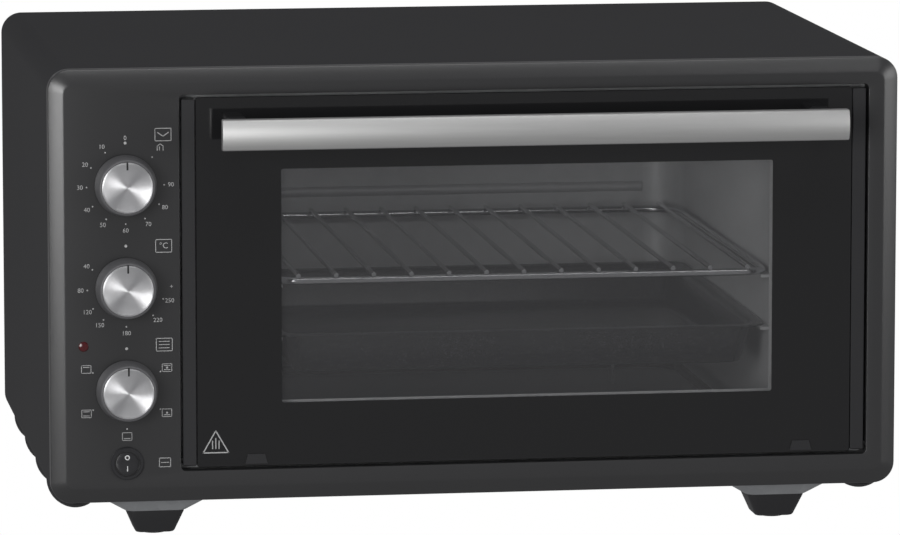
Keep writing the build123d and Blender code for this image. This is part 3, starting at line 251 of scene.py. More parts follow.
def skin(rings, joined=False):
    """Mesh through rings of equal length.  joined closes last to first, else the ends are capped."""
    shape = bmesh.new()
    rows = [[shape.verts.new(point) for point in ring] for ring in rings]
    pairs = list(zip(rows, rows[1:]))
    if joined:
        pairs.append((rows[-1], rows[0]))
    else:
        shape.faces.new(rows[0][::-1])
        shape.faces.new(rows[-1])
    for first, second in pairs:
        for i in range(len(first)):
            j = (i + 1) % len(first)
            shape.faces.new((first[i], first[j], second[j], second[i]))
    bmesh.ops.recalc_face_normals(shape, faces=shape.faces)
    return shape


def place_piece(name, shape, material, body, smooth_angle=35):
    """Turns a bmesh into a piece that rides on a body, smooth except at sharp edges."""
    mesh = bpy.data.meshes.new(name)
    shape.to_mesh(mesh)
    shape.free()
    mesh.materials.append(material)
    mesh.shade_smooth()
    mesh.set_sharp_from_angle(angle=math.radians(smooth_angle))
    piece = bpy.data.objects.new(name, mesh)
    scene.collection.objects.link(piece)
    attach(piece, body)
    return piece


frame_low, frame_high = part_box("front_frame")
FRONT = frame_low.y
recess_low = Vector((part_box("door_trim_left")[0].x - DOOR_GAP, 0, frame_low.z + BORDER_BELOW))
recess_high = Vector((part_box("door_trim_right")[1].x + DOOR_GAP, 0, frame_high.z - BORDER_ABOVE))


def frame_ring(inset, depth, radius):
    ring = rounded_ring((frame_low.x + inset, frame_low.z + inset),
                        (frame_high.x - inset, frame_high.z - inset), radius)
    return [(u, FRONT + depth, v) for u, v in ring]


def recess_ring(outset, depth, radius):
    ring = rounded_ring((recess_low.x - outset, recess_low.z - outset),
                        (recess_high.x + outset, recess_high.z + outset), radius)
    return [(u, FRONT + depth, v) for u, v in ring]


slope = BEVEL_DEPTH / BEVEL_WIDTH
inner = LIP_INSET + LIP_SHEET
sheet_corner = RECESS_CORNER + 1.5 * MM
rings = [
    # outside: side wall, rounded on to the bevel, and rounded again on to the flat face
    frame_ring(0, FRAME_SIDE, OUTER_RADIUS),
    frame_ring(0, BEVEL_DEPTH + EDGE_ROUND, OUTER_RADIUS),
    frame_ring(EDGE_ROUND * 0.3, BEVEL_DEPTH + EDGE_ROUND * 0.1, OUTER_RADIUS),
    frame_ring(EDGE_ROUND * 1.2, BEVEL_DEPTH - EDGE_ROUND * 1.2 * slope, OUTER_RADIUS - EDGE_ROUND),
    frame_ring(BEVEL_WIDTH - EDGE_ROUND, EDGE_ROUND * slope, BEVEL_CORNER + 0.5 * MM),
    frame_ring(BEVEL_WIDTH, EDGE_ROUND * slope * 0.3, BEVEL_CORNER),
    frame_ring(BEVEL_WIDTH + EDGE_ROUND, 0, BEVEL_CORNER - 0.5 * MM),
    # recess: over its rounded edge to the back of its wall
    recess_ring(EDGE_ROUND, 0, RECESS_CORNER + EDGE_ROUND),
    recess_ring(EDGE_ROUND * 0.3, EDGE_ROUND * 0.3, RECESS_CORNER + 0.3 * MM),
    recess_ring(0, EDGE_ROUND, RECESS_CORNER),
    recess_ring(0, RECESS_DEPTH, RECESS_CORNER),
    recess_ring(FRAME_SHEET, RECESS_DEPTH, sheet_corner),
    # inside of the sheet, out to the lip and round it
    recess_ring(FRAME_SHEET, FRAME_SHEET, sheet_corner),
    frame_ring(BEVEL_WIDTH, FRAME_SHEET, BEVEL_CORNER),
    frame_ring(inner, BEVEL_DEPTH + FRAME_SHEET, OUTER_RADIUS - inner),
    frame_ring(inner, LIP_DEPTH, OUTER_RADIUS - inner),
    frame_ring(LIP_INSET, LIP_DEPTH, OUTER_RADIUS - LIP_INSET),
    frame_ring(LIP_INSET, FRAME_SIDE, OUTER_RADIUS - LIP_INSET),
]
frame_enamel = powder_coat("satin_enamel_frame", ENAMEL_GREY, ENAMEL_GREY_LIGHT, 0.3, 0.85)
pressing = place_piece("front_frame_pressing", skin(rings, joined=True), frame_enamel,
                       "oven_body", 25)
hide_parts("front_frame")

# ---------------------------------------------------------------- bottom pan, foot cups and feet
# The pan and the cups welded under it are galvanised sheet, grey with a faint zinc spangle.  Each
# foot is a tapered block of moulded black ABS on a screw, and stands on a soft rubber pad.
ZINC_DARK = "#A2A4A6"
ZINC_LIGHT = "#ABADAF"
SPANGLE = 7.0 * MM
FOOT_BOTTOM_HALF = 13.0 * MM
FOOT_ROUND = 1.2 * MM
FOOT_CORNER_SHARE = 0.28
FOOT_CORNER_STEPS = 6
MATT_GRAIN = 0.5 * MM  # spark-eroded grain is finer than this and wouldn't show
MATT_DEPTH = 0.02 * MM
MATT_SPREAD = 0.06
ABS_BLACK = "#252527"
RUBBER_BLACK = "#121213"


def galvanised(name):
    """Hot-dip galvanised steel: dull zinc grey, mottled where its crystals face different ways."""
    material, tree = new_material(name)
    place = add_node(tree, "ShaderNodeTexCoord").outputs["Object"]
    crystal = add_node(tree, "ShaderNodeTexVoronoi", {"Vector": place, "Scale": 1 / SPANGLE})
    shade = add_node(tree, "ShaderNodeSeparateColor", {"Color": crystal.outputs["Color"]})
    colour = add_node(tree, "ShaderNodeMix", {"Factor": shade.outputs["Red"],
                                              "A": linear(ZINC_DARK), "B": linear(ZINC_LIGHT)},
                      data_type="RGBA")
    gloss = add_node(tree, "ShaderNodeMapRange", {"Value": shade.outputs["Green"],
                                                  "To Min": 0.5, "To Max": 0.6})
    shader = add_node(tree, "ShaderNodeBsdfPrincipled", {
        "Base Color": colour.outputs["Result"], "Metallic": 0.6,
        "Roughness": gloss.outputs["Result"]})
    add_node(tree, "ShaderNodeOutputMaterial", {"Surface": shader.outputs["BSDF"]})
    return material


def fine_matt(name, colour, roughness):
    """Even colour with a very fine matt grain, as a spark-eroded mould gives plastic."""
    material, tree = new_material(name)
    place = add_node(tree, "ShaderNodeTexCoord").outputs["Object"]
    grain = add_node(tree, "ShaderNodeTexNoise", {"Vector": place, "Scale": 1 / MATT_GRAIN,
                                                  "Detail": 1.0})
    gloss = add_node(tree, "ShaderNodeMapRange", {"Value": grain.outputs["Fac"],
                                                  "To Min": roughness - MATT_SPREAD,
                                                  "To Max": roughness + MATT_SPREAD})
    bump = add_node(tree, "ShaderNodeBump", {"Height": grain.outputs["Fac"],
                                             "Distance": MATT_DEPTH, "Strength": 0.4})
    shader = add_node(tree, "ShaderNodeBsdfPrincipled", {
        "Base Color": linear(colour), "Roughness": gloss.outputs["Result"],
        "Normal": bump.outputs["Normal"]})
    add_node(tree, "ShaderNodeOutputMaterial", {"Surface": shader.outputs["BSDF"]})
    return material


zinc_sheet = galvanised("galvanised_sheet")
black_abs = fine_matt("moulded_black_abs", ABS_BLACK, 0.5)
pad_rubber = fine_matt("pad_rubber", RUBBER_BLACK, 0.8)
for name in ("bottom_pan", "foot_cups", "heat_shield", "control_bracket", "heater_clips"):
    dress(name, zinc_sheet)
dress("foot_pads", pad_rubber)

for corner in ("front_left", "front_right", "rear_left", "rear_right"):
    low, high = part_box("foot_" + corner)
    middle = (low + high) / 2
    top_half, tall = (high.x - low.x) / 2, high.z - low.z
    rounding = 0.3 * FOOT_ROUND
    rings = []
    for drop, shrink in ((0, FOOT_ROUND), (rounding, rounding), (FOOT_ROUND, 0),
                         (tall - FOOT_ROUND, 0), (tall - rounding, rounding), (tall, FOOT_ROUND)):
        half = top_half + (FOOT_BOTTOM_HALF - top_half) * drop / tall - shrink
        ring = rounded_ring((middle.x - half, middle.y - half), (middle.x + half, middle.y + half),
                            half * FOOT_CORNER_SHARE, FOOT_CORNER_STEPS)
        rings.append([(u, v, high.z - drop) for u, v in ring])
    foot = place_piece("foot_block_" + corner, skin(rings), black_abs, "oven_body")
    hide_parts("foot_" + corner)

# ---------------------------------------------------------------- rear screws, gland and hinge parts
# Zinc-plated pan-head screws with a cross recess hold the rear panel, and the screws and shafts
# inside have the same plating.  Hinge pins and springs are black oxide steel, the gland is ABS.
SCREW_HEAD_RADIUS = 3.2 * MM
SCREW_HEAD_HEIGHT = 1.6 * MM
SCREW_SHANK_RADIUS = 1.4 * MM
SCREW_SHANK = 9.0 * MM
SCREW_SIDES = 24
# head in section: (share of its radius, share of its height), from its rim to the cross
SCREW_HEAD = ((1.0, 0.0), (1.0, 0.45), (0.85, 0.8), (0.6, 0.95), (0.55, 1.0), (0.16, 0.3))
CROSS_HALF_ANGLE = math.radians(8)
CROSS_DEPTH = 0.4 * SCREW_HEAD_HEIGHT
SIDE_SCREW_DROP = 40.0 * MM  # upper side screws below the top row
PLATE_DARK = "#B9BCC0"
PLATE_LIGHT = "#D2D4D6"
PLATE_HAZE = 3.3 * MM
OXIDE_BLACK = "#1B1B1C"


def zinc_plated(name):
    """Bright zinc plate: pale blue-grey metal with a slightly uneven gloss."""
    material, tree = new_material(name)
    place = add_node(tree, "ShaderNodeTexCoord").outputs["Object"]
    haze = add_node(tree, "ShaderNodeTexNoise", {"Vector": place, "Scale": 1 / PLATE_HAZE,
                                                 "Detail": 3.0})
    gloss = add_node(tree, "ShaderNodeMapRange", {"Value": haze.outputs["Fac"], "To Min": 0.22,
                                                  "To Max": 0.42})
    colour = add_node(tree, "ShaderNodeMix", {"Factor": haze.outputs["Fac"],
                                              "A": linear(PLATE_DARK), "B": linear(PLATE_LIGHT)},
                      data_type="RGBA")
    shader = add_node(tree, "ShaderNodeBsdfPrincipled", {
        "Base Color": colour.outputs["Result"], "Metallic": 1.0,
        "Roughness": gloss.outputs["Result"]})
    add_node(tree, "ShaderNodeOutputMaterial", {"Surface": shader.outputs["BSDF"]})
    return material


zinc_plate = zinc_plated("zinc_plate")
black_steel = fine_matt("black_oxide_steel", OXIDE_BLACK, 0.45)
for name in ("hinge_pins", "hinge_springs", "hinge_brackets"):
    dress(name, black_steel)
for name in ("foot_screws", "control_screws", "handle_screws",
             "shaft_timer", "shaft_thermostat", "shaft_selector", "fan_motor", "fan_shaft",
             "thermostat_bulb"):
    dress(name, zinc_plate)
for name in ("cord_gland", "lamp_body"):
    dress(name, black_abs)


def full_turn(sides):
    """Evenly spaced angles round a circle."""
    return [2 * math.pi * i / sides for i in range(sides)]


def turned(profile, centre, sides):
    """Mesh turned about an axis along Y through centre; the profile is (radius, y) pairs."""
    rings = []
    for radius, y in profile:
        rings.append([(centre.x + radius * math.cos(t), y, centre.z + radius * math.sin(t))
                      for t in full_turn(sides)])
    return skin(rings)


def geometry_tree(name, sizes):
    """New Geometry Nodes group with a geometry input and output and these named sizes."""
    group = bpy.data.node_groups.new(name, "GeometryNodeTree")
    group.interface.new_socket("Geometry", in_out="INPUT", socket_type="NodeSocketGeometry")
    for label, kind in sizes.items():
        group.interface.new_socket(label, in_out="INPUT", socket_type=kind)
    group.interface.new_socket("Geometry", in_out="OUTPUT", socket_type="NodeSocketGeometry")
    return group


def grow(mesh, group, values):
    """Runs a Geometry Nodes group on a mesh with these inputs and returns the plain result."""
    carrier = bpy.data.objects.new("carrier", mesh)
    scene.collection.objects.link(carrier)
    modifier = carrier.modifiers.new("nodes", "NODES")
    modifier.node_group = group
    for item in group.interface.items_tree:
        if item.in_out == "INPUT" and item.name in values:
            modifier[item.identifier] = values[item.name]
    bpy.context.view_layer.update()
    evaluated = carrier.evaluated_get(bpy.context.evaluated_depsgraph_get())
    result = bpy.data.meshes.new_from_object(evaluated)
    carrier.modifiers.remove(modifier)
    bpy.data.objects.remove(carrier)
    shape = bmesh.new()
    shape.from_mesh(result)
    bpy.data.meshes.remove(result)
    return shape


# one screw, turned, with a cross pressed into its head
head_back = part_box("rear_panel")[1].y
head = [(SCREW_HEAD_RADIUS * radius, SCREW_HEAD_HEIGHT * up) for radius, up in SCREW_HEAD]
screw = turned([(SCREW_SHANK_RADIUS, -SCREW_SHANK), (SCREW_SHANK_RADIUS, 0)] + head,
               Vector((0, 0, 0)), SCREW_SIDES)
for vert in screw.verts:
    spoke = math.atan2(vert.co.z, vert.co.x) % (math.pi / 2)
    in_cross = min(spoke, math.pi / 2 - spoke) < CROSS_HALF_ANGLE
    share = math.hypot(vert.co.x, vert.co.z) / SCREW_HEAD_RADIUS
    if in_cross and 0.5 < share < 0.7:
        vert.co.y -= CROSS_DEPTH
screw_mesh = bpy.data.meshes.new("screw")
screw.to_mesh(screw_mesh)
screw.free()
screw_pattern = bpy.data.objects.new("screw_pattern", screw_mesh)
scene.collection.objects.link(screw_pattern)

tree = geometry_tree("place_screws", {"Screw": "NodeSocketObject", "Material": "NodeSocketMaterial"})
given = add_node(tree, "NodeGroupInput")
pattern = add_node(tree, "GeometryNodeObjectInfo", {"Object": given.outputs["Screw"]})
placed = add_node(tree, "GeometryNodeInstanceOnPoints",
                  {"Points": given.outputs["Geometry"], "Instance": pattern.outputs["Geometry"]})
real = add_node(tree, "GeometryNodeRealizeInstances", {"Geometry": placed.outputs["Instances"]})
coated = add_node(tree, "GeometryNodeSetMaterial", {"Geometry": real.outputs["Geometry"],
                                                    "Material": given.outputs["Material"]})
add_node(tree, "NodeGroupOutput", {"Geometry": coated.outputs["Geometry"]})
screw_low, screw_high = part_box("casing_screws")
across = screw_high.x - SCREW_HEAD_RADIUS
high_row, low_row = screw_high.z - SCREW_HEAD_RADIUS, screw_low.z + SCREW_HEAD_RADIUS
places = bpy.data.meshes.new("screw_places")
places.from_pydata([(side * across, head_back, z) for side in (-1, 1)
                    for z in (low_row, high_row - SIDE_SCREW_DROP)]
                   + [(side * across / 3, head_back, high_row) for side in (-1, 1)], [], [])
screws = place_piece("rear_screws", grow(places, tree, {"Screw": screw_pattern,
                                                        "Material": zinc_plate}),
                     zinc_plate, "oven_body")
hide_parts("casing_screws")
bpy.data.objects.remove(screw_pattern)

# ---------------------------------------------------------------- cavity, fan and elements
# The inner box is aluminised steel sheet, matt grey.  Sheathed elements run under its ceiling and
# over its floor, in steatite sleeves, and a perforated cover hides the fan on its left wall.
ALUMINISED_DARK = "#B4B5B6"
ALUMINISED_LIGHT = "#C6C7C8"
MOTTLE = 14.0 * MM
SHEATH_DARK = "#4A4643"
SHEATH_LIGHT = "#6B645D"
SHEATH_BLOOM = 17.0 * MM
STEATITE = "#E2DFD6"
NYLON = "#D8D4C6"
FILL_SIDES = (0.3, 0.03)
FILL_POWER = 0.16
FILL_LEFT = 45.0 * MM
FILL_BEHIND_FRONT = 40.0 * MM
FILL_BELOW_CEILING = 14.0 * MM
FILL_TOWARD = Vector((0, 1, -0.35))


def aluminised(name):
    """Hot-dip aluminised steel: soft matt grey with a cloudy mottle."""
    material, tree = new_material(name)
    place = add_node(tree, "ShaderNodeTexCoord").outputs["Object"]
    cloud = add_node(tree, "ShaderNodeTexNoise", {"Vector": place, "Scale": 1 / MOTTLE,
                                                  "Detail": 4.0})
    colour = add_node(tree, "ShaderNodeMix", {"Factor": cloud.outputs["Fac"],
                                              "A": linear(ALUMINISED_DARK),
                                              "B": linear(ALUMINISED_LIGHT)}, data_type="RGBA")
    gloss = add_node(tree, "ShaderNodeMapRange", {"Value": cloud.outputs["Fac"], "To Min": 0.4,
                                                  "To Max": 0.55})
    shader = add_node(tree, "ShaderNodeBsdfPrincipled", {
        "Base Color": colour.outputs["Result"], "Metallic": 0.25,
        "Roughness": gloss.outputs["Result"]})
    add_node(tree, "ShaderNodeOutputMaterial", {"Surface": shader.outputs["BSDF"]})
    return material


def baked_sheath(name):
    """Nickel-alloy element sheath, oxidised by heat to an uneven brownish grey."""
    material, tree = new_material(name)
    place = add_node(tree, "ShaderNodeTexCoord").outputs["Object"]
    bloom = add_node(tree, "ShaderNodeTexNoise", {"Vector": place, "Scale": 1 / SHEATH_BLOOM,
                                                  "Detail": 4.0})
    colour = add_node(tree, "ShaderNodeMix", {"Factor": bloom.outputs["Fac"],
                                              "A": linear(SHEATH_DARK), "B": linear(SHEATH_LIGHT)},
                      data_type="RGBA")
    shader = add_node(tree, "ShaderNodeBsdfPrincipled", {
        "Base Color": colour.outputs["Result"], "Metallic": 0.8, "Roughness": 0.55})
    add_node(tree, "ShaderNodeOutputMaterial", {"Surface": shader.outputs["BSDF"]})
    return material


cavity_steel = aluminised("aluminised_steel")
for name in ("cavity_shell", "fan_cover", "fan_blade", "door_inner_frame"):
    dress(name, cavity_steel)
sheath = baked_sheath("oxidised_sheath")
for name in ("heater_upper", "heater_lower"):
    dress(name, sheath)
cavity_low, cavity_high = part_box("cavity_shell")
# a faint lamp under the ceiling shows the rack and the tray through the smoked glass
fill_place = Vector(((cavity_low.x + cavity_high.x) / 2 - FILL_LEFT,
                     cavity_low.y + FILL_BEHIND_FRONT, cavity_high.z - FILL_BELOW_CEILING))
area_light("cavity_fill", fill_place, fill_place + FILL_TOWARD, *FILL_SIDES, FILL_POWER)
dress("heater_insulators", fine_matt("steatite_ceramic", STEATITE, 0.6))
nylon = fine_matt("natural_nylon", NYLON, 0.45)
for name in ("unit_timer", "unit_thermostat", "unit_selector", "terminal_block"):
    dress(name, nylon)
for name in ("door_arm_left", "door_arm_right"):
    dress(name, zinc_sheet)

# ---------------------------------------------------------------- wire rack
# Round steel wire, bent and spot-welded: one rail all round and thirteen straight wires across it,
# each lying on the rail at its ends.  Bright nickel-chrome plate.
RAIL_RADIUS = 2.5 * MM
WIRE_RADIUS = 1.6 * MM
WIRE_COUNT = 13
RAIL_FRONT_BEND = 14.0 * MM
RAIL_REAR_BEND = 28.0 * MM
WIRE_END = 1.5 * MM
RAIL_SIDES = 16
WIRE_SIDES = 12
CHROME = "#C9CACC"
CHROME_HAZE = 4.5 * MM


def chrome_plate(name):
    """Nickel-chrome on steel wire: bright, with a gloss that varies a little along it."""
    material, tree = new_material(name)
    place = add_node(tree, "ShaderNodeTexCoord").outputs["Object"]
    haze = add_node(tree, "ShaderNodeTexNoise", {"Vector": place, "Scale": 1 / CHROME_HAZE})
    gloss = add_node(tree, "ShaderNodeMapRange", {"Value": haze.outputs["Fac"], "To Min": 0.12,
                                                  "To Max": 0.26})
    shader = add_node(tree, "ShaderNodeBsdfPrincipled", {
        "Base Color": linear(CHROME), "Metallic": 1.0, "Roughness": gloss.outputs["Result"]})
    add_node(tree, "ShaderNodeOutputMaterial", {"Surface": shader.outputs["BSDF"]})
    return material


def tube(path, radius, sides):
    """Mesh tube round a closed, level path of points."""
    up = Vector((0, 0, 1))
    rings = []
    for i, point in enumerate(path):
        before, after = path[i - 1], path[(i + 1) % len(path)]
        side = up.cross((after - before).normalized()).normalized()
        rings.append([tuple(point + side * radius * math.cos(t) + up * radius * math.sin(t))
                      for t in full_turn(sides)])
    return skin(rings, joined=True)


rack_low, rack_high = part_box("wire_rack")
rail_z = rack_low.z + RAIL_RADIUS
rail_x = (rack_low.x + RAIL_RADIUS, rack_high.x - RAIL_RADIUS)
rail_y = (rack_low.y + RAIL_RADIUS, rack_high.y - RAIL_RADIUS)
front_half = rounded_ring((rail_x[0], rail_y[0]), (rail_x[1], rail_y[1]), RAIL_FRONT_BEND)
rear_half = rounded_ring((rail_x[0], rail_y[0]), (rail_x[1], rail_y[1]), RAIL_REAR_BEND)
middle_y = sum(rail_y) / 2
outline = [b if b[1] > middle_y else a for a, b in zip(front_half, rear_half)]
rail = tube([Vector((x, y, rail_z)) for x, y in outline], RAIL_RADIUS, RAIL_SIDES)
rail_mesh = bpy.data.meshes.new("rail")
rail.to_mesh(rail_mesh)
rail.free()

tree = geometry_tree("weld_cross_wires", {"Count": "NodeSocketInt", "First": "NodeSocketVector",
                                          "Pitch": "NodeSocketVector", "Length": "NodeSocketVector",
                                          "Radius": "NodeSocketFloat", "Sides": "NodeSocketInt",
                                          "Material": "NodeSocketMaterial"})
given = add_node(tree, "NodeGroupInput")
wire = add_node(tree, "GeometryNodeCurvePrimitiveLine", {"End": given.outputs["Length"]})
section = add_node(tree, "GeometryNodeCurvePrimitiveCircle", {"Resolution": given.outputs["Sides"],
                                                              "Radius": given.outputs["Radius"]})
bar = add_node(tree, "GeometryNodeCurveToMesh", {"Curve": wire.outputs["Curve"],
                                                 "Profile Curve": section.outputs["Curve"],
                                                 "Fill Caps": True})
row = add_node(tree, "GeometryNodeMeshLine", {"Count": given.outputs["Count"],
                                              "Start Location": given.outputs["First"],
                                              "Offset": given.outputs["Pitch"]})
placed = add_node(tree, "GeometryNodeInstanceOnPoints", {"Points": row.outputs["Mesh"],
                                                         "Instance": bar.outputs["Mesh"]})
both = add_node(tree, "GeometryNodeJoinGeometry")
tree.links.new(given.outputs["Geometry"], both.inputs["Geometry"])
tree.links.new(placed.outputs["Instances"], both.inputs["Geometry"])
real = add_node(tree, "GeometryNodeRealizeInstances", {"Geometry": both.outputs["Geometry"]})
coated = add_node(tree, "GeometryNodeSetMaterial", {"Geometry": real.outputs["Geometry"],
                                                    "Material": given.outputs["Material"]})
add_node(tree, "NodeGroupOutput", {"Geometry": coated.outputs["Geometry"]})
chrome = chrome_plate("chrome_plate")
pitch = (rail_x[1] - rail_x[0]) / WIRE_COUNT
values = {"Count": WIRE_COUNT, "Radius": WIRE_RADIUS, "Sides": WIRE_SIDES, "Material": chrome,
          "First": (rail_x[0] + pitch / 2, rail_y[0] - WIRE_END, rack_high.z - WIRE_RADIUS),
          "Pitch": (pitch, 0, 0), "Length": (0, rail_y[1] - rail_y[0] + 2 * WIRE_END, 0)}
rack = place_piece("wire_rack_grid", grow(rail_mesh, tree, values), chrome, "rack")
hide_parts("wire_rack")

# ---------------------------------------------------------------- baking tray
# Pressed from one steel sheet with a flat rim and sloping walls, then dipped in black vitreous
# enamel that carries a fine pale fleck.
ENAMEL_BLACK = "#1E1E20"
FLECK_GREY = "#6F7072"
FLECK = 2.2 * MM
TRAY_RIM_WIDTH = 8.0 * MM
TRAY_TAPER = 7.0 * MM
TRAY_SHEET = 1.0 * MM
TRAY_BEND = 2.5 * MM
TRAY_CORNER = 16.0 * MM
TRAY_LEAST_CORNER = 4.0 * MM
TRAY_CORNER_STEPS = 8


def vitreous_enamel(name):
    """Vitreous enamel: glassy black with sparse pale flecks fired into it."""
    material, tree = new_material(name)
    place = add_node(tree, "ShaderNodeTexCoord").outputs["Object"]
    spot = add_node(tree, "ShaderNodeTexVoronoi", {"Vector": place, "Scale": 1 / FLECK})
    mask = add_node(tree, "ShaderNodeMapRange", {"Value": spot.outputs["Distance"],
                                                 "From Min": 0.1, "From Max": 0.16,
                                                 "To Min": 1.0, "To Max": 0.0})
    colour = add_node(tree, "ShaderNodeMix", {"Factor": mask.outputs["Result"],
                                              "A": linear(ENAMEL_BLACK), "B": linear(FLECK_GREY)},
                      data_type="RGBA")
    shader = add_node(tree, "ShaderNodeBsdfPrincipled", {
        "Base Color": colour.outputs["Result"], "Roughness": 0.22})
    add_node(tree, "ShaderNodeOutputMaterial", {"Surface": shader.outputs["BSDF"]})
    return material


tray_low, tray_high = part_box("baking_tray")


def tray_ring(inset, z):
    ring = rounded_ring((tray_low.x + inset, tray_low.y + inset),
                        (tray_high.x - inset, tray_high.y - inset),
                        max(TRAY_CORNER - inset / 2, TRAY_LEAST_CORNER), TRAY_CORNER_STEPS)
    return [(u, v, z) for u, v in ring]


wall_top, wall_foot = TRAY_RIM_WIDTH, TRAY_RIM_WIDTH + TRAY_TAPER
inside = [
    tray_ring(0, tray_high.z - TRAY_SHEET), tray_ring(0, tray_high.z),
    tray_ring(wall_top, tray_high.z),
    tray_ring(wall_top + TRAY_BEND * 0.6, tray_high.z - TRAY_BEND * 0.4),
    tray_ring(wall_top + TRAY_BEND, tray_high.z - TRAY_BEND),
    tray_ring(wall_foot, tray_low.z + TRAY_BEND + TRAY_SHEET),
    tray_ring(wall_foot + TRAY_BEND * 0.4, tray_low.z + TRAY_BEND * 0.4 + TRAY_SHEET),
    tray_ring(wall_foot + TRAY_BEND, tray_low.z + TRAY_SHEET),
]
under = [
    tray_ring(wall_foot + TRAY_BEND, tray_low.z),
    tray_ring(wall_foot, tray_low.z + TRAY_BEND * 0.5),
    tray_ring(wall_foot - TRAY_SHEET, tray_low.z + TRAY_BEND + TRAY_SHEET),
    tray_ring(wall_top, tray_high.z - TRAY_BEND),
    tray_ring(wall_top, tray_high.z - TRAY_SHEET),
]
tray = place_piece("baking_tray_pressing", skin(inside[::-1] + under[::-1]),
                   vitreous_enamel("vitreous_enamel"), "tray")
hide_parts("baking_tray")

# ---------------------------------------------------------------- door: glass, trims and clips
# Tempered front glass with a black ceramic border fired on its back, so the middle is a smoked
# window.  Moulded trims hold its sides, two clips its lower edge, and a clear pane is behind it.
WINDOW_CORNER = 1.5 * MM
WINDOW_LEFT = 57.7 * MM
WINDOW_RIGHT = 54.8 * MM
WINDOW_BELOW = 43.2 * MM
WINDOW_ABOVE = 49.2 * MM
PANE_EDGE = 0.4 * MM
PANE_CORNER = 2.0 * MM
PANE_FACE_CORNER = 1.4 * MM
PRINT_UNDERCUT = 1.2 * MM
WINDOW_GAP = 0.02 * MM
SMOKE = "#6C6C6E"
SMOKE_ALPHA = 0.16
CLEAR_TINT = "#3A3C3C"
CLEAR_ALPHA = 0.04
GLASS_OVER_PRINT = "#1C1C1D"
GLASS_ROLL = 170.0 * MM


def glass(name, tint, alpha, roughness=0.03):
    """Soda-lime float glass, seen as a tint that lets light through, with a clean gloss."""
    material, tree = new_material(name)
    place = add_node(tree, "ShaderNodeTexCoord").outputs["Object"]
    roll = add_node(tree, "ShaderNodeTexNoise", {"Vector": place, "Scale": 1 / GLASS_ROLL})
    gloss = add_node(tree, "ShaderNodeMapRange", {"Value": roll.outputs["Fac"],
                                                  "To Min": roughness, "To Max": roughness * 2})
    shader = add_node(tree, "ShaderNodeBsdfPrincipled", {
        "Base Color": linear(tint), "Roughness": gloss.outputs["Result"], "Alpha": alpha,
        "IOR": 1.52})
    add_node(tree, "ShaderNodeOutputMaterial", {"Surface": shader.outputs["BSDF"]})
    return material


smoked = glass("smoked_float_glass", SMOKE, SMOKE_ALPHA)
clear = glass("clear_float_glass", CLEAR_TINT, CLEAR_ALPHA)
ceramic_print = glass("glass_over_fired_print", GLASS_OVER_PRINT, 1.0, 0.05)
dress("door_inner_glass", clear)
for name in ("door_trim_left", "door_trim_right", "glass_clips", "handle_bracket_left",
             "handle_bracket_right"):
    dress(name, black_abs)

pane_low, pane_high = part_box("door_glass")
window_low = (pane_low.x + WINDOW_LEFT, pane_low.z + WINDOW_BELOW)
window_high = (pane_high.x - WINDOW_RIGHT, pane_high.z - WINDOW_ABOVE)


def pane_ring(low, high, inset, radius, y):
    return [(u, y, v) for u, v in rounded_ring((low[0] + inset, low[1] + inset),
                                               (high[0] - inset, high[1] - inset), radius)]


edge_low, edge_high = (pane_low.x, pane_low.z), (pane_high.x, pane_high.z)
border = skin([
    pane_ring(edge_low, edge_high, PANE_EDGE, PANE_FACE_CORNER, pane_low.y),
    pane_ring(window_low, window_high, 0, WINDOW_CORNER, pane_low.y),
    pane_ring(window_low, window_high, -PRINT_UNDERCUT, WINDOW_CORNER, pane_high.y),
    pane_ring(edge_low, edge_high, PANE_EDGE, PANE_FACE_CORNER, pane_high.y),
    pane_ring(edge_low, edge_high, 0, PANE_CORNER, pane_high.y - PANE_EDGE),
    pane_ring(edge_low, edge_high, 0, PANE_CORNER, pane_low.y + PANE_EDGE)], joined=True)
border_piece = place_piece("door_glass_border", border, ceramic_print, "door")
window = skin([pane_ring(window_low, window_high, WINDOW_GAP, WINDOW_CORNER, y)
               for y in (pane_low.y, pane_high.y)])
window_piece = place_piece("door_glass_window", window, smoked, "door")
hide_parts("door_glass")
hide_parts("door_glass")

# ---------------------------------------------------------------- door handle
# An extruded aluminium bar with a convex front, bead-blasted and clear anodised: a satin silver
# with very fine lines along its length.  Its ends are cut square and lightly broken.
BAR_CROWN = 2.4 * MM
BAR_CORNER = 1.5 * MM
BAR_EDGE = 0.8 * MM
CROWN_STEPS = 28
CORNER_TURNS = 6
SATIN_DARK = "#C6C6C5"
SATIN_LIGHT = "#D2D2D1"
DRAW_LINE = 0.35 * MM  # real draw lines are hair-fine; these are as fine as can show


def satin_anodised(name):
    """Satin clear-anodised extrusion: soft silver, gloss stretched across its draw lines."""
    material, tree = new_material(name)
    place = add_node(tree, "ShaderNodeTexCoord").outputs["Object"]
    along = add_node(tree, "ShaderNodeMapping", {"Vector": place, "Scale": (0.01, 1.0, 1.0)})
    lines = add_node(tree, "ShaderNodeTexNoise", {"Vector": along.outputs["Vector"],
                                                  "Scale": 1 / DRAW_LINE, "Detail": 2.0})
    gloss = add_node(tree, "ShaderNodeMapRange", {"Value": lines.outputs["Fac"],
                                                  "To Min": 0.48, "To Max": 0.58})
    colour = add_node(tree, "ShaderNodeMix", {"Factor": lines.outputs["Fac"],
                                              "A": linear(SATIN_DARK), "B": linear(SATIN_LIGHT)},
                      data_type="RGBA")
    shader = add_node(tree, "ShaderNodeBsdfPrincipled", {
        "Base Color": colour.outputs["Result"], "Metallic": 1.0,
        "Roughness": gloss.outputs["Result"]})
    add_node(tree, "ShaderNodeOutputMaterial", {"Surface": shader.outputs["BSDF"]})
    return material


bar_low, bar_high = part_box("handle_bar")


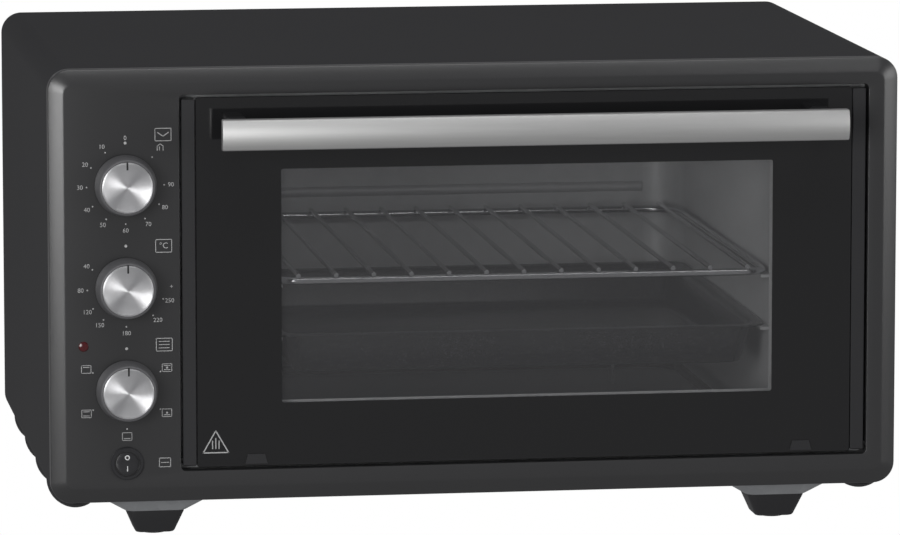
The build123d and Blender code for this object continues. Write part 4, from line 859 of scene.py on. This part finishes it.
def bar_section(x, shrink):
    """Outline of the bar at x: crowned front, rounded edges, flat back; shrink breaks its ends."""
    middle = (bar_low.z + bar_high.z) / 2
    half = (bar_high.z - bar_low.z) / 2
    flat = half - BAR_CORNER
    crown_y = bar_low.y + BAR_CROWN
    lean = math.atan(2 * BAR_CROWN / flat)
    crown = []
    for step in range(CROWN_STEPS + 1):
        v = flat * (2 * step / CROWN_STEPS - 1)
        crown.append((crown_y - BAR_CROWN * (1 - (v / flat) ** 2), v))
    corner = []
    for step in range(1, CORNER_TURNS + 1):
        turn = lean + (math.pi / 2 - lean) * step / CORNER_TURNS
        corner.append((crown_y + BAR_CORNER * (math.cos(lean) - math.cos(turn)),
                       flat + BAR_CORNER * (math.sin(turn) - math.sin(lean))))
    corner.append((bar_high.y, corner[-1][1]))
    mirrored = [(y, -v) for y, v in reversed(corner)]
    outline = crown + corner + mirrored
    depth = bar_high.y - bar_low.y
    return [(x, bar_low.y + shrink + (y - bar_low.y) * (1 - 2 * shrink / depth),
             middle + v * (1 - shrink / half)) for y, v in outline]


edge_step = BAR_EDGE * 0.3
bar = skin([bar_section(bar_low.x, BAR_EDGE), bar_section(bar_low.x + edge_step, edge_step),
            bar_section(bar_low.x + BAR_EDGE, 0), bar_section(bar_high.x - BAR_EDGE, 0),
            bar_section(bar_high.x - edge_step, edge_step), bar_section(bar_high.x, BAR_EDGE)])
handle = place_piece("handle_extrusion", bar, satin_anodised("satin_anodised_aluminium"), "door",
                     40)
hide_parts("handle_bar")

# ---------------------------------------------------------------- control knobs
# Each knob is a dark moulded skirt with a spun-aluminium disc pressed into its front.  A slot at
# the top of the disc runs on to the skirt and points at the dial.  The slot isn't cut: a flat
# near-black mark stands in for it, and its black is painted shade.
KNOB_SIDES = 128
SKIRT_GREY = "#5C5C5E"
SKIRT_TAPER = 2.0 * MM
SKIRT_FOOT = 2.0 * MM
SKIRT_ROUND = 1.0 * MM
SPUN_DARK = "#DADADC"
SPUN_LIGHT = "#F2F2F3"
CAP_GAP = 0.1 * MM
CAP_RIM = 0.5 * MM
TURNING_LINE = 0.16 * MM  # coarser than a lathe leaves, so that the rings just show
# painted shade: the near-black of the index mark stands for the shade down the slot
INDEX_PAINTED_SHADE = "#161619"
INDEX_WIDTH = 1.2 * MM
INDEX_LENGTH = 5.0 * MM
INDEX_CORNER = 0.25 * MM
INDEX_PROUD = 0.03 * MM
INDEX_SINK = 0.6 * MM


def spun_aluminium(name):
    """Aluminium disc faced on a lathe: fine rings round its centre fan the light out in spokes."""
    material, tree = new_material(name)
    turned_radius = add_node(tree, "ShaderNodeAttribute", attribute_name="turned_radius")
    rings = add_node(tree, "ShaderNodeTexNoise", {"W": turned_radius.outputs["Fac"],
                                                  "Scale": 1 / TURNING_LINE, "Detail": 2.0},
                     noise_dimensions="1D")
    gloss = add_node(tree, "ShaderNodeMapRange", {"Value": rings.outputs["Fac"],
                                                  "To Min": 0.42, "To Max": 0.52})
    colour = add_node(tree, "ShaderNodeMix", {"Factor": rings.outputs["Fac"],
                                              "A": linear(SPUN_DARK), "B": linear(SPUN_LIGHT)},
                      data_type="RGBA")
    grooves = add_node(tree, "ShaderNodeTangent", direction_type="RADIAL", axis="Y")
    shader = add_node(tree, "ShaderNodeBsdfPrincipled", {
        "Base Color": colour.outputs["Result"], "Metallic": 1.0,
        "Roughness": gloss.outputs["Result"], "Anisotropic": 0.9, "Anisotropic Rotation": 0.25,
        "Tangent": grooves.outputs["Tangent"]})
    add_node(tree, "ShaderNodeOutputMaterial", {"Surface": shader.outputs["BSDF"]})
    return material


skirt_plastic = fine_matt("knob_skirt_plastic", SKIRT_GREY, 0.38)
slot_painted_shade = fine_matt("index_slot_painted_shade", INDEX_PAINTED_SHADE, 0.5)
spun = spun_aluminium("spun_aluminium")
for name in ("timer", "thermostat", "selector"):
    low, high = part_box("knob_skirt_" + name)
    cap_low, cap_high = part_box("knob_cap_" + name)
    centre = (low + high) / 2
    outer, cap_radius = (high.x - low.x) / 2, (cap_high.x - cap_low.x) / 2
    face, seat = low.y, cap_high.y
    top = outer - SKIRT_TAPER
    skirt = turned([
        (outer - SKIRT_TAPER, high.y), (outer - 0.3 * MM, high.y), (outer, high.y - 0.4 * MM),
        (outer, high.y - SKIRT_FOOT), (top + 0.2 * MM, face + SKIRT_ROUND),
        (top - 0.25 * SKIRT_ROUND, face + 0.3 * SKIRT_ROUND), (top - SKIRT_ROUND * 0.8, face),
        (cap_radius + 0.25 * MM, face), (cap_radius + CAP_GAP, face + 0.2 * MM),
        (cap_radius + CAP_GAP, seat)], centre, KNOB_SIDES)
    piece = place_piece("knob_skirt_moulding_" + name, skirt, skirt_plastic, name + "_knob")
    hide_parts("knob_skirt_" + name)
    rim, dish = cap_low.y, cap_low.y + 0.3 * CAP_RIM
    disc = turned([
        (cap_radius, seat), (cap_radius, rim + CAP_RIM), (cap_radius - 0.3 * CAP_RIM, dish),
        (cap_radius - CAP_RIM, rim), (cap_radius - 2.4 * CAP_RIM, rim),
        (cap_radius - 3 * CAP_RIM, dish), (cap_radius / 2, dish), (0.4 * MM, dish)],
        centre, KNOB_SIDES)
    piece = place_piece("knob_disc_" + name, disc, spun, name + "_knob")
    radii = piece.data.attributes.new("turned_radius", "FLOAT", "POINT")
    for vert in piece.data.vertices:
        radii.data[vert.index].value = math.hypot(vert.co.x - centre.x, vert.co.z - centre.z)
    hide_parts("knob_cap_" + name)
    # the slot isn't cut; a flat mark a hair proud of the disc carries its painted shade
    index = rounded_ring((-INDEX_WIDTH / 2, cap_radius - INDEX_LENGTH),
                         (INDEX_WIDTH / 2, top - SKIRT_ROUND), INDEX_CORNER, 3)
    mark = [[(centre.x + u, y, centre.z + v) for u, v in index]
            for y in (rim - INDEX_PROUD, rim + INDEX_SINK)]
    place_piece("knob_index_" + name, skin(mark), slot_painted_shade, name + "_knob")

# ---------------------------------------------------------------- rocker switch and lamp
# A round rocker in a snap-in bezel, both gloss black nylon, with its on and off marks hot-stamped,
# and a small neon lamp behind a domed red lens.
SWITCH_BLACK = "#2A2A2C"
BUTTON_RADIUS = 7.7 * MM
BUTTON_LIFT = 1.0 * MM
BUTTON_SINK = 1.2 * MM
BUTTON_EDGE = 0.4 * MM
BUTTON_SIDE = 2.2 * MM
BUTTON_DEPTH = 6.0 * MM
BUTTON_SIDES = 72
LENS_DARK = "#3C050A"
LENS_LIGHT = "#560A10"
LENS_SWIRL = 1.4 * MM

gloss_black = fine_matt("switch_nylon", SWITCH_BLACK, 0.3)
dress("switch_housing", gloss_black)

housing_low, housing_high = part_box("switch_housing")
rocker_low, rocker_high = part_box("switch_rocker")
button_centre = Vector(((rocker_low.x + rocker_high.x) / 2, 0,
                        (housing_low.z + housing_high.z) / 2))


def button_face(v):
    """Depth of the rocker's face: its upper half is flat and pressed, its lower half stands out."""
    out = max(0.0, -v) / BUTTON_RADIUS * BUTTON_LIFT
    return housing_low.y + BUTTON_SINK - out


def button_ring(radius, inset):
    return [(button_centre.x + radius * math.cos(t), button_face(radius * math.sin(t)) + inset,
             button_centre.z + radius * math.sin(t)) for t in full_turn(BUTTON_SIDES)]


button_back = [(x, rocker_low.y + BUTTON_DEPTH, z)
               for x, y, z in button_ring(BUTTON_RADIUS * 0.7, 0)]
edge_step = 0.3 * BUTTON_EDGE
button = skin([button_back] + [button_ring(radius, inset) for radius, inset in (
    (BUTTON_RADIUS, BUTTON_SIDE), (BUTTON_RADIUS, BUTTON_EDGE),
    (BUTTON_RADIUS - edge_step, edge_step), (BUTTON_RADIUS - BUTTON_EDGE, 0),
    (BUTTON_RADIUS * 0.6, 0), (BUTTON_RADIUS * 0.25, 0), (0.1 * MM, 0))])
rocker_button = place_piece("rocker_button", button, gloss_black, "rocker", 30)
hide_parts("switch_rocker")


def lens_red(name):
    """Dyed polycarbonate over an unlit neon: deep red that keeps a sharp gloss."""
    material, tree = new_material(name)
    place = add_node(tree, "ShaderNodeTexCoord").outputs["Object"]
    swirl = add_node(tree, "ShaderNodeTexNoise", {"Vector": place, "Scale": 1 / LENS_SWIRL})
    colour = add_node(tree, "ShaderNodeMix", {"Factor": swirl.outputs["Fac"],
                                              "A": linear(LENS_DARK), "B": linear(LENS_LIGHT)},
                      data_type="RGBA")
    shader = add_node(tree, "ShaderNodeBsdfPrincipled", {
        "Base Color": colour.outputs["Result"], "Roughness": 0.15, "Coat Weight": 0.6})
    add_node(tree, "ShaderNodeOutputMaterial", {"Surface": shader.outputs["BSDF"]})
    return material


dress("lamp_lens", lens_red("red_lens"))

# ---------------------------------------------------------------- dial printing
# Pale grey screen ink on the enamel: dots and numbers round each knob, and small pictograms.  The
# ink is a film too thin to feel, so every mark stands a few hundredths of a millimetre proud.
INK_FILM = 0.04 * MM
INK_DARK = "#9A9A9A"
INK_LIGHT = "#C4C4C4"
WHITE_INK_DARK = "#D0D0D0"
WHITE_INK_LIGHT = "#E6E6E6"
INK_GRAIN = 0.67 * MM
DOT_RADIUS = 26.1 * MM
TOP_DOT_RADIUS = 28.6 * MM
LABEL_RADIUS = 30.6 * MM
ZERO_RADIUS = 31.9 * MM
ICON_RADIUS = 31.2 * MM
SMALL_DOT = 0.55 * MM
LARGE_DOT = 1.0 * MM
FAN_DOT = 0.7 * MM
DOT_SIDES = 14
FIGURE_SIZE = 4.2 * MM
UNIT_SIZE = 5.6 * MM
STROKE = 0.45 * MM
# dial marks: number, and degrees anticlockwise from the top
TIMER_MARKS = {10: 31, 20: 62, 30: 92, 40: 122, 50: 150, 60: 180, 70: 210, 80: 240, 90: 270}
HEAT_MARKS = {40: 60, 80: 92, 120: 121, 150: 144, 180: 180, 220: 224, 250: 253}
HOTTEST = 271
HOLD_DOT, HOLD_ARCH, HOLD_RADIUS = -44, -43, 34.5 * MM
# heating modes: degrees, and a bar over (1) or under (-1) the oven's middle, with 0 for the fan
MODES = ((61, (1,)), (119, (-1, 1)), (180, (-1,)), (240, (-1, 0)), (299, (-1, 0, 1)))
# pictograms in frames: to the right of each knob's axis, above it, and the frame's two sides in mm
MARK_RIGHT = 25.5 * MM
CLOCK_UP, HEAT_UP, MODE_UP = 33.9 * MM, 28.3 * MM, 30.85 * MM
FRAME_SIDES = (10.8, 8.6)
CLOCK_SIDES = (10.8, 8.4)
SWITCH_SIDES = (7.6, 6.0)
MODE_SIDES = (6.4, 5.2)
OFF_MARK_UP = 3.9 * MM
OFF_MARK_RADII = (1.0 * MM, 1.7 * MM)
OFF_MARK_SIDES = 32
ON_MARK_DOWN = 3.6 * MM
ON_STROKE = 0.6 * MM
HEAT_MARK_PLACE = (12.6 * MM, 17.2 * MM)
HEAT_MARK_STROKE = 0.8 * MM
HEAT_BAR_STROKE = 0.7 * MM


def screen_ink(name, dark, light):
    """Screen-printed epoxy ink: flat and pale, very slightly broken over the grain below."""
    material, tree = new_material(name)
    place = add_node(tree, "ShaderNodeTexCoord").outputs["Object"]
    grain = add_node(tree, "ShaderNodeTexNoise", {"Vector": place, "Scale": 1 / INK_GRAIN})
    colour = add_node(tree, "ShaderNodeMix", {"Factor": grain.outputs["Fac"],
                                              "A": linear(dark), "B": linear(light)},
                      data_type="RGBA")
    shader = add_node(tree, "ShaderNodeBsdfPrincipled", {
        "Base Color": colour.outputs["Result"], "Roughness": 0.55})
    add_node(tree, "ShaderNodeOutputMaterial", {"Surface": shader.outputs["BSDF"]})
    return material


def stamp(shape, points, x, z, y=FRONT):
    """Adds one flat mark to shape: a closed outline of (u, v) points centred on x, z."""
    rows = [[shape.verts.new((x + u, y + film, z + v)) for u, v in points]
            for film in (-INK_FILM, INK_FILM)]
    shape.faces.new(rows[0][::-1])
    shape.faces.new(rows[1])
    for i in range(len(points)):
        j = (i + 1) % len(points)
        shape.faces.new((rows[0][i], rows[0][j], rows[1][j], rows[1][i]))


def dot(shape, x, z, radius):
    stamp(shape, [(radius * math.cos(t), radius * math.sin(t)) for t in full_turn(DOT_SIDES)], x, z)


def line(shape, x, z, path, width=STROKE, y=FRONT):
    """Adds a stroke along a path of (u, v) points in millimetres."""
    for (u0, v0), (u1, v1) in zip(path, path[1:]):
        along = Vector((u1 - u0, v1 - v0)).normalized() * width / 2
        across = Vector((-along.y, along.x))
        start, end = Vector((u0, v0)) * MM - along * 0.9, Vector((u1, v1)) * MM + along * 0.9
        stamp(shape, [start - across, end - across, end + across, start + across], x, z, y)


def figure(shape, text, x, z, size=FIGURE_SIZE):
    """Adds a number or a sign, centred on x, z."""
    curve = bpy.data.curves.new("figure", "FONT")
    curve.body = text
    curve.size = size
    curve.align_x, curve.align_y = "CENTER", "CENTER"
    curve.extrude = INK_FILM
    curve.resolution_u = 3
    lettering = bpy.data.objects.new("figure", curve)
    scene.collection.objects.link(lettering)
    bpy.context.view_layer.update()
    mesh = bpy.data.meshes.new_from_object(lettering)
    mesh.transform(Matrix.Translation((x, FRONT, z)) @ Matrix.Rotation(math.pi / 2, 4, "X"))
    shape.from_mesh(mesh)
    bpy.data.objects.remove(lettering)
    bpy.data.meshes.remove(mesh)


def around(centre, degrees, radius):
    """A place on a dial, counted anticlockwise from its top."""
    turn = math.radians(degrees)
    return centre.x - radius * math.sin(turn), centre.z + radius * math.cos(turn)


def frame_box(shape, x, z, sides, width=STROKE):
    u, v = sides[0] / 2, sides[1] / 2
    line(shape, x, z, [(-u, -v), (u, -v), (u, v), (-u, v), (-u, -v)], width)


def print_piece(name, shape, material, body):
    """Places a set of printed marks, with their normals turned outward."""
    bmesh.ops.recalc_face_normals(shape, faces=shape.faces)
    return place_piece(name, shape, material, body)


dials = bmesh.new()
timer, thermostat, selector = (sum(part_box("knob_skirt_" + name), Vector()) / 2
                               for name in ("timer", "thermostat", "selector"))
for centre, marks in ((timer, TIMER_MARKS), (thermostat, HEAT_MARKS)):
    for value, degrees in marks.items():
        dot(dials, *around(centre, degrees, DOT_RADIUS), SMALL_DOT)
        figure(dials, str(value), *around(centre, degrees, LABEL_RADIUS))
for centre in (timer, thermostat, selector):
    dot(dials, *around(centre, 0, TOP_DOT_RADIUS), LARGE_DOT)
figure(dials, "0", *around(timer, 0, ZERO_RADIUS))
dot(dials, *around(timer, HOLD_DOT, DOT_RADIUS), SMALL_DOT)
hold_x, hold_z = around(timer, HOLD_ARCH, HOLD_RADIUS)
line(dials, hold_x, hold_z, [(-2, -2), (-2, 1), (0, 2.4), (2, 1), (2, -2)])
line(dials, hold_x, hold_z, [(-0.5, -1.8), (-0.5, 0.4)])
figure(dials, "+", *around(thermostat, HOTTEST, LABEL_RADIUS))

mark_x = timer.x + MARK_RIGHT
clock_z, heat_z, mode_z = timer.z + CLOCK_UP, thermostat.z + HEAT_UP, selector.z + MODE_UP
frame_box(dials, mark_x, clock_z, CLOCK_SIDES)
line(dials, mark_x, clock_z, [(-3.6, 1.4), (0, -1.2), (3.6, 1.4)], STROKE * 1.3)
mark_x = thermostat.x + MARK_RIGHT
frame_box(dials, mark_x, heat_z, FRAME_SIDES)
figure(dials, "°C", mark_x, heat_z, UNIT_SIZE)
mark_x = selector.x + MARK_RIGHT
frame_box(dials, mark_x, mode_z, FRAME_SIDES)
for row_z in (-2.2, 0, 2.2):
    line(dials, mark_x, mode_z, [(-3.4, row_z), (3.4, row_z)])
frame_box(dials, mark_x, button_centre.z, SWITCH_SIDES)
line(dials, mark_x, button_centre.z, [(-2.6, 0), (2.6, 0)])

for degrees, bars in MODES:
    dot(dials, *around(selector, degrees, DOT_RADIUS), SMALL_DOT)
    icon_x, icon_z = around(selector, degrees, ICON_RADIUS)
    frame_box(dials, icon_x, icon_z, MODE_SIDES, STROKE * 0.9)
    for side in bars:
        if side:
            line(dials, icon_x, icon_z, [(-2.0, side * 1.4), (2.0, side * 1.4)])
        else:
            dot(dials, icon_x, icon_z, FAN_DOT)
ink = screen_ink("screen_ink", INK_DARK, INK_LIGHT)
print_piece("dial_printing", dials, ink, "oven_body")

# a ring on the rocker's flat upper half, and a bar that follows the slope of its lower half
white_ink = screen_ink("white_ink", WHITE_INK_DARK, WHITE_INK_LIGHT)
small, large = OFF_MARK_RADII
off_rings = [[(button_centre.x + radius * math.cos(t), button_face(OFF_MARK_UP) + film,
               button_centre.z + OFF_MARK_UP + radius * math.sin(t))
              for t in full_turn(OFF_MARK_SIDES)]
             for radius, film in ((small, INK_FILM), (small, -INK_FILM), (large, -INK_FILM),
                                  (large, INK_FILM))]
place_piece("rocker_off_mark", skin(off_rings, joined=True), white_ink, "rocker")
on_mark = bmesh.new()
bar_face = button_face(-ON_MARK_DOWN)
line(on_mark, button_centre.x, button_centre.z - ON_MARK_DOWN, [(0, -1.5), (0, 1.5)], ON_STROKE,
     bar_face)
for vert in on_mark.verts:
    vert.co.y += button_face(vert.co.z - button_centre.z) - bar_face
print_piece("rocker_marks", on_mark, white_ink, "rocker")

# a plain triangle with three bars at the glass's lower corner warns that the door gets hot
heat_mark = bmesh.new()
mark_x, mark_z = pane_low.x + HEAT_MARK_PLACE[0], pane_low.z + HEAT_MARK_PLACE[1]
line(heat_mark, mark_x, mark_z, [(-8.6, -7.4), (8.6, -7.4), (0, 7.6), (-8.6, -7.4)],
     HEAT_MARK_STROKE, pane_low.y)
for u, bar_top in ((-2.2, 0.6), (0, 2.4), (2.2, 0.6)):
    line(heat_mark, mark_x, mark_z, [(u, -4.6), (u, bar_top)], HEAT_BAR_STROKE, pane_low.y)
print_piece("heat_mark", heat_mark, ink, "door")
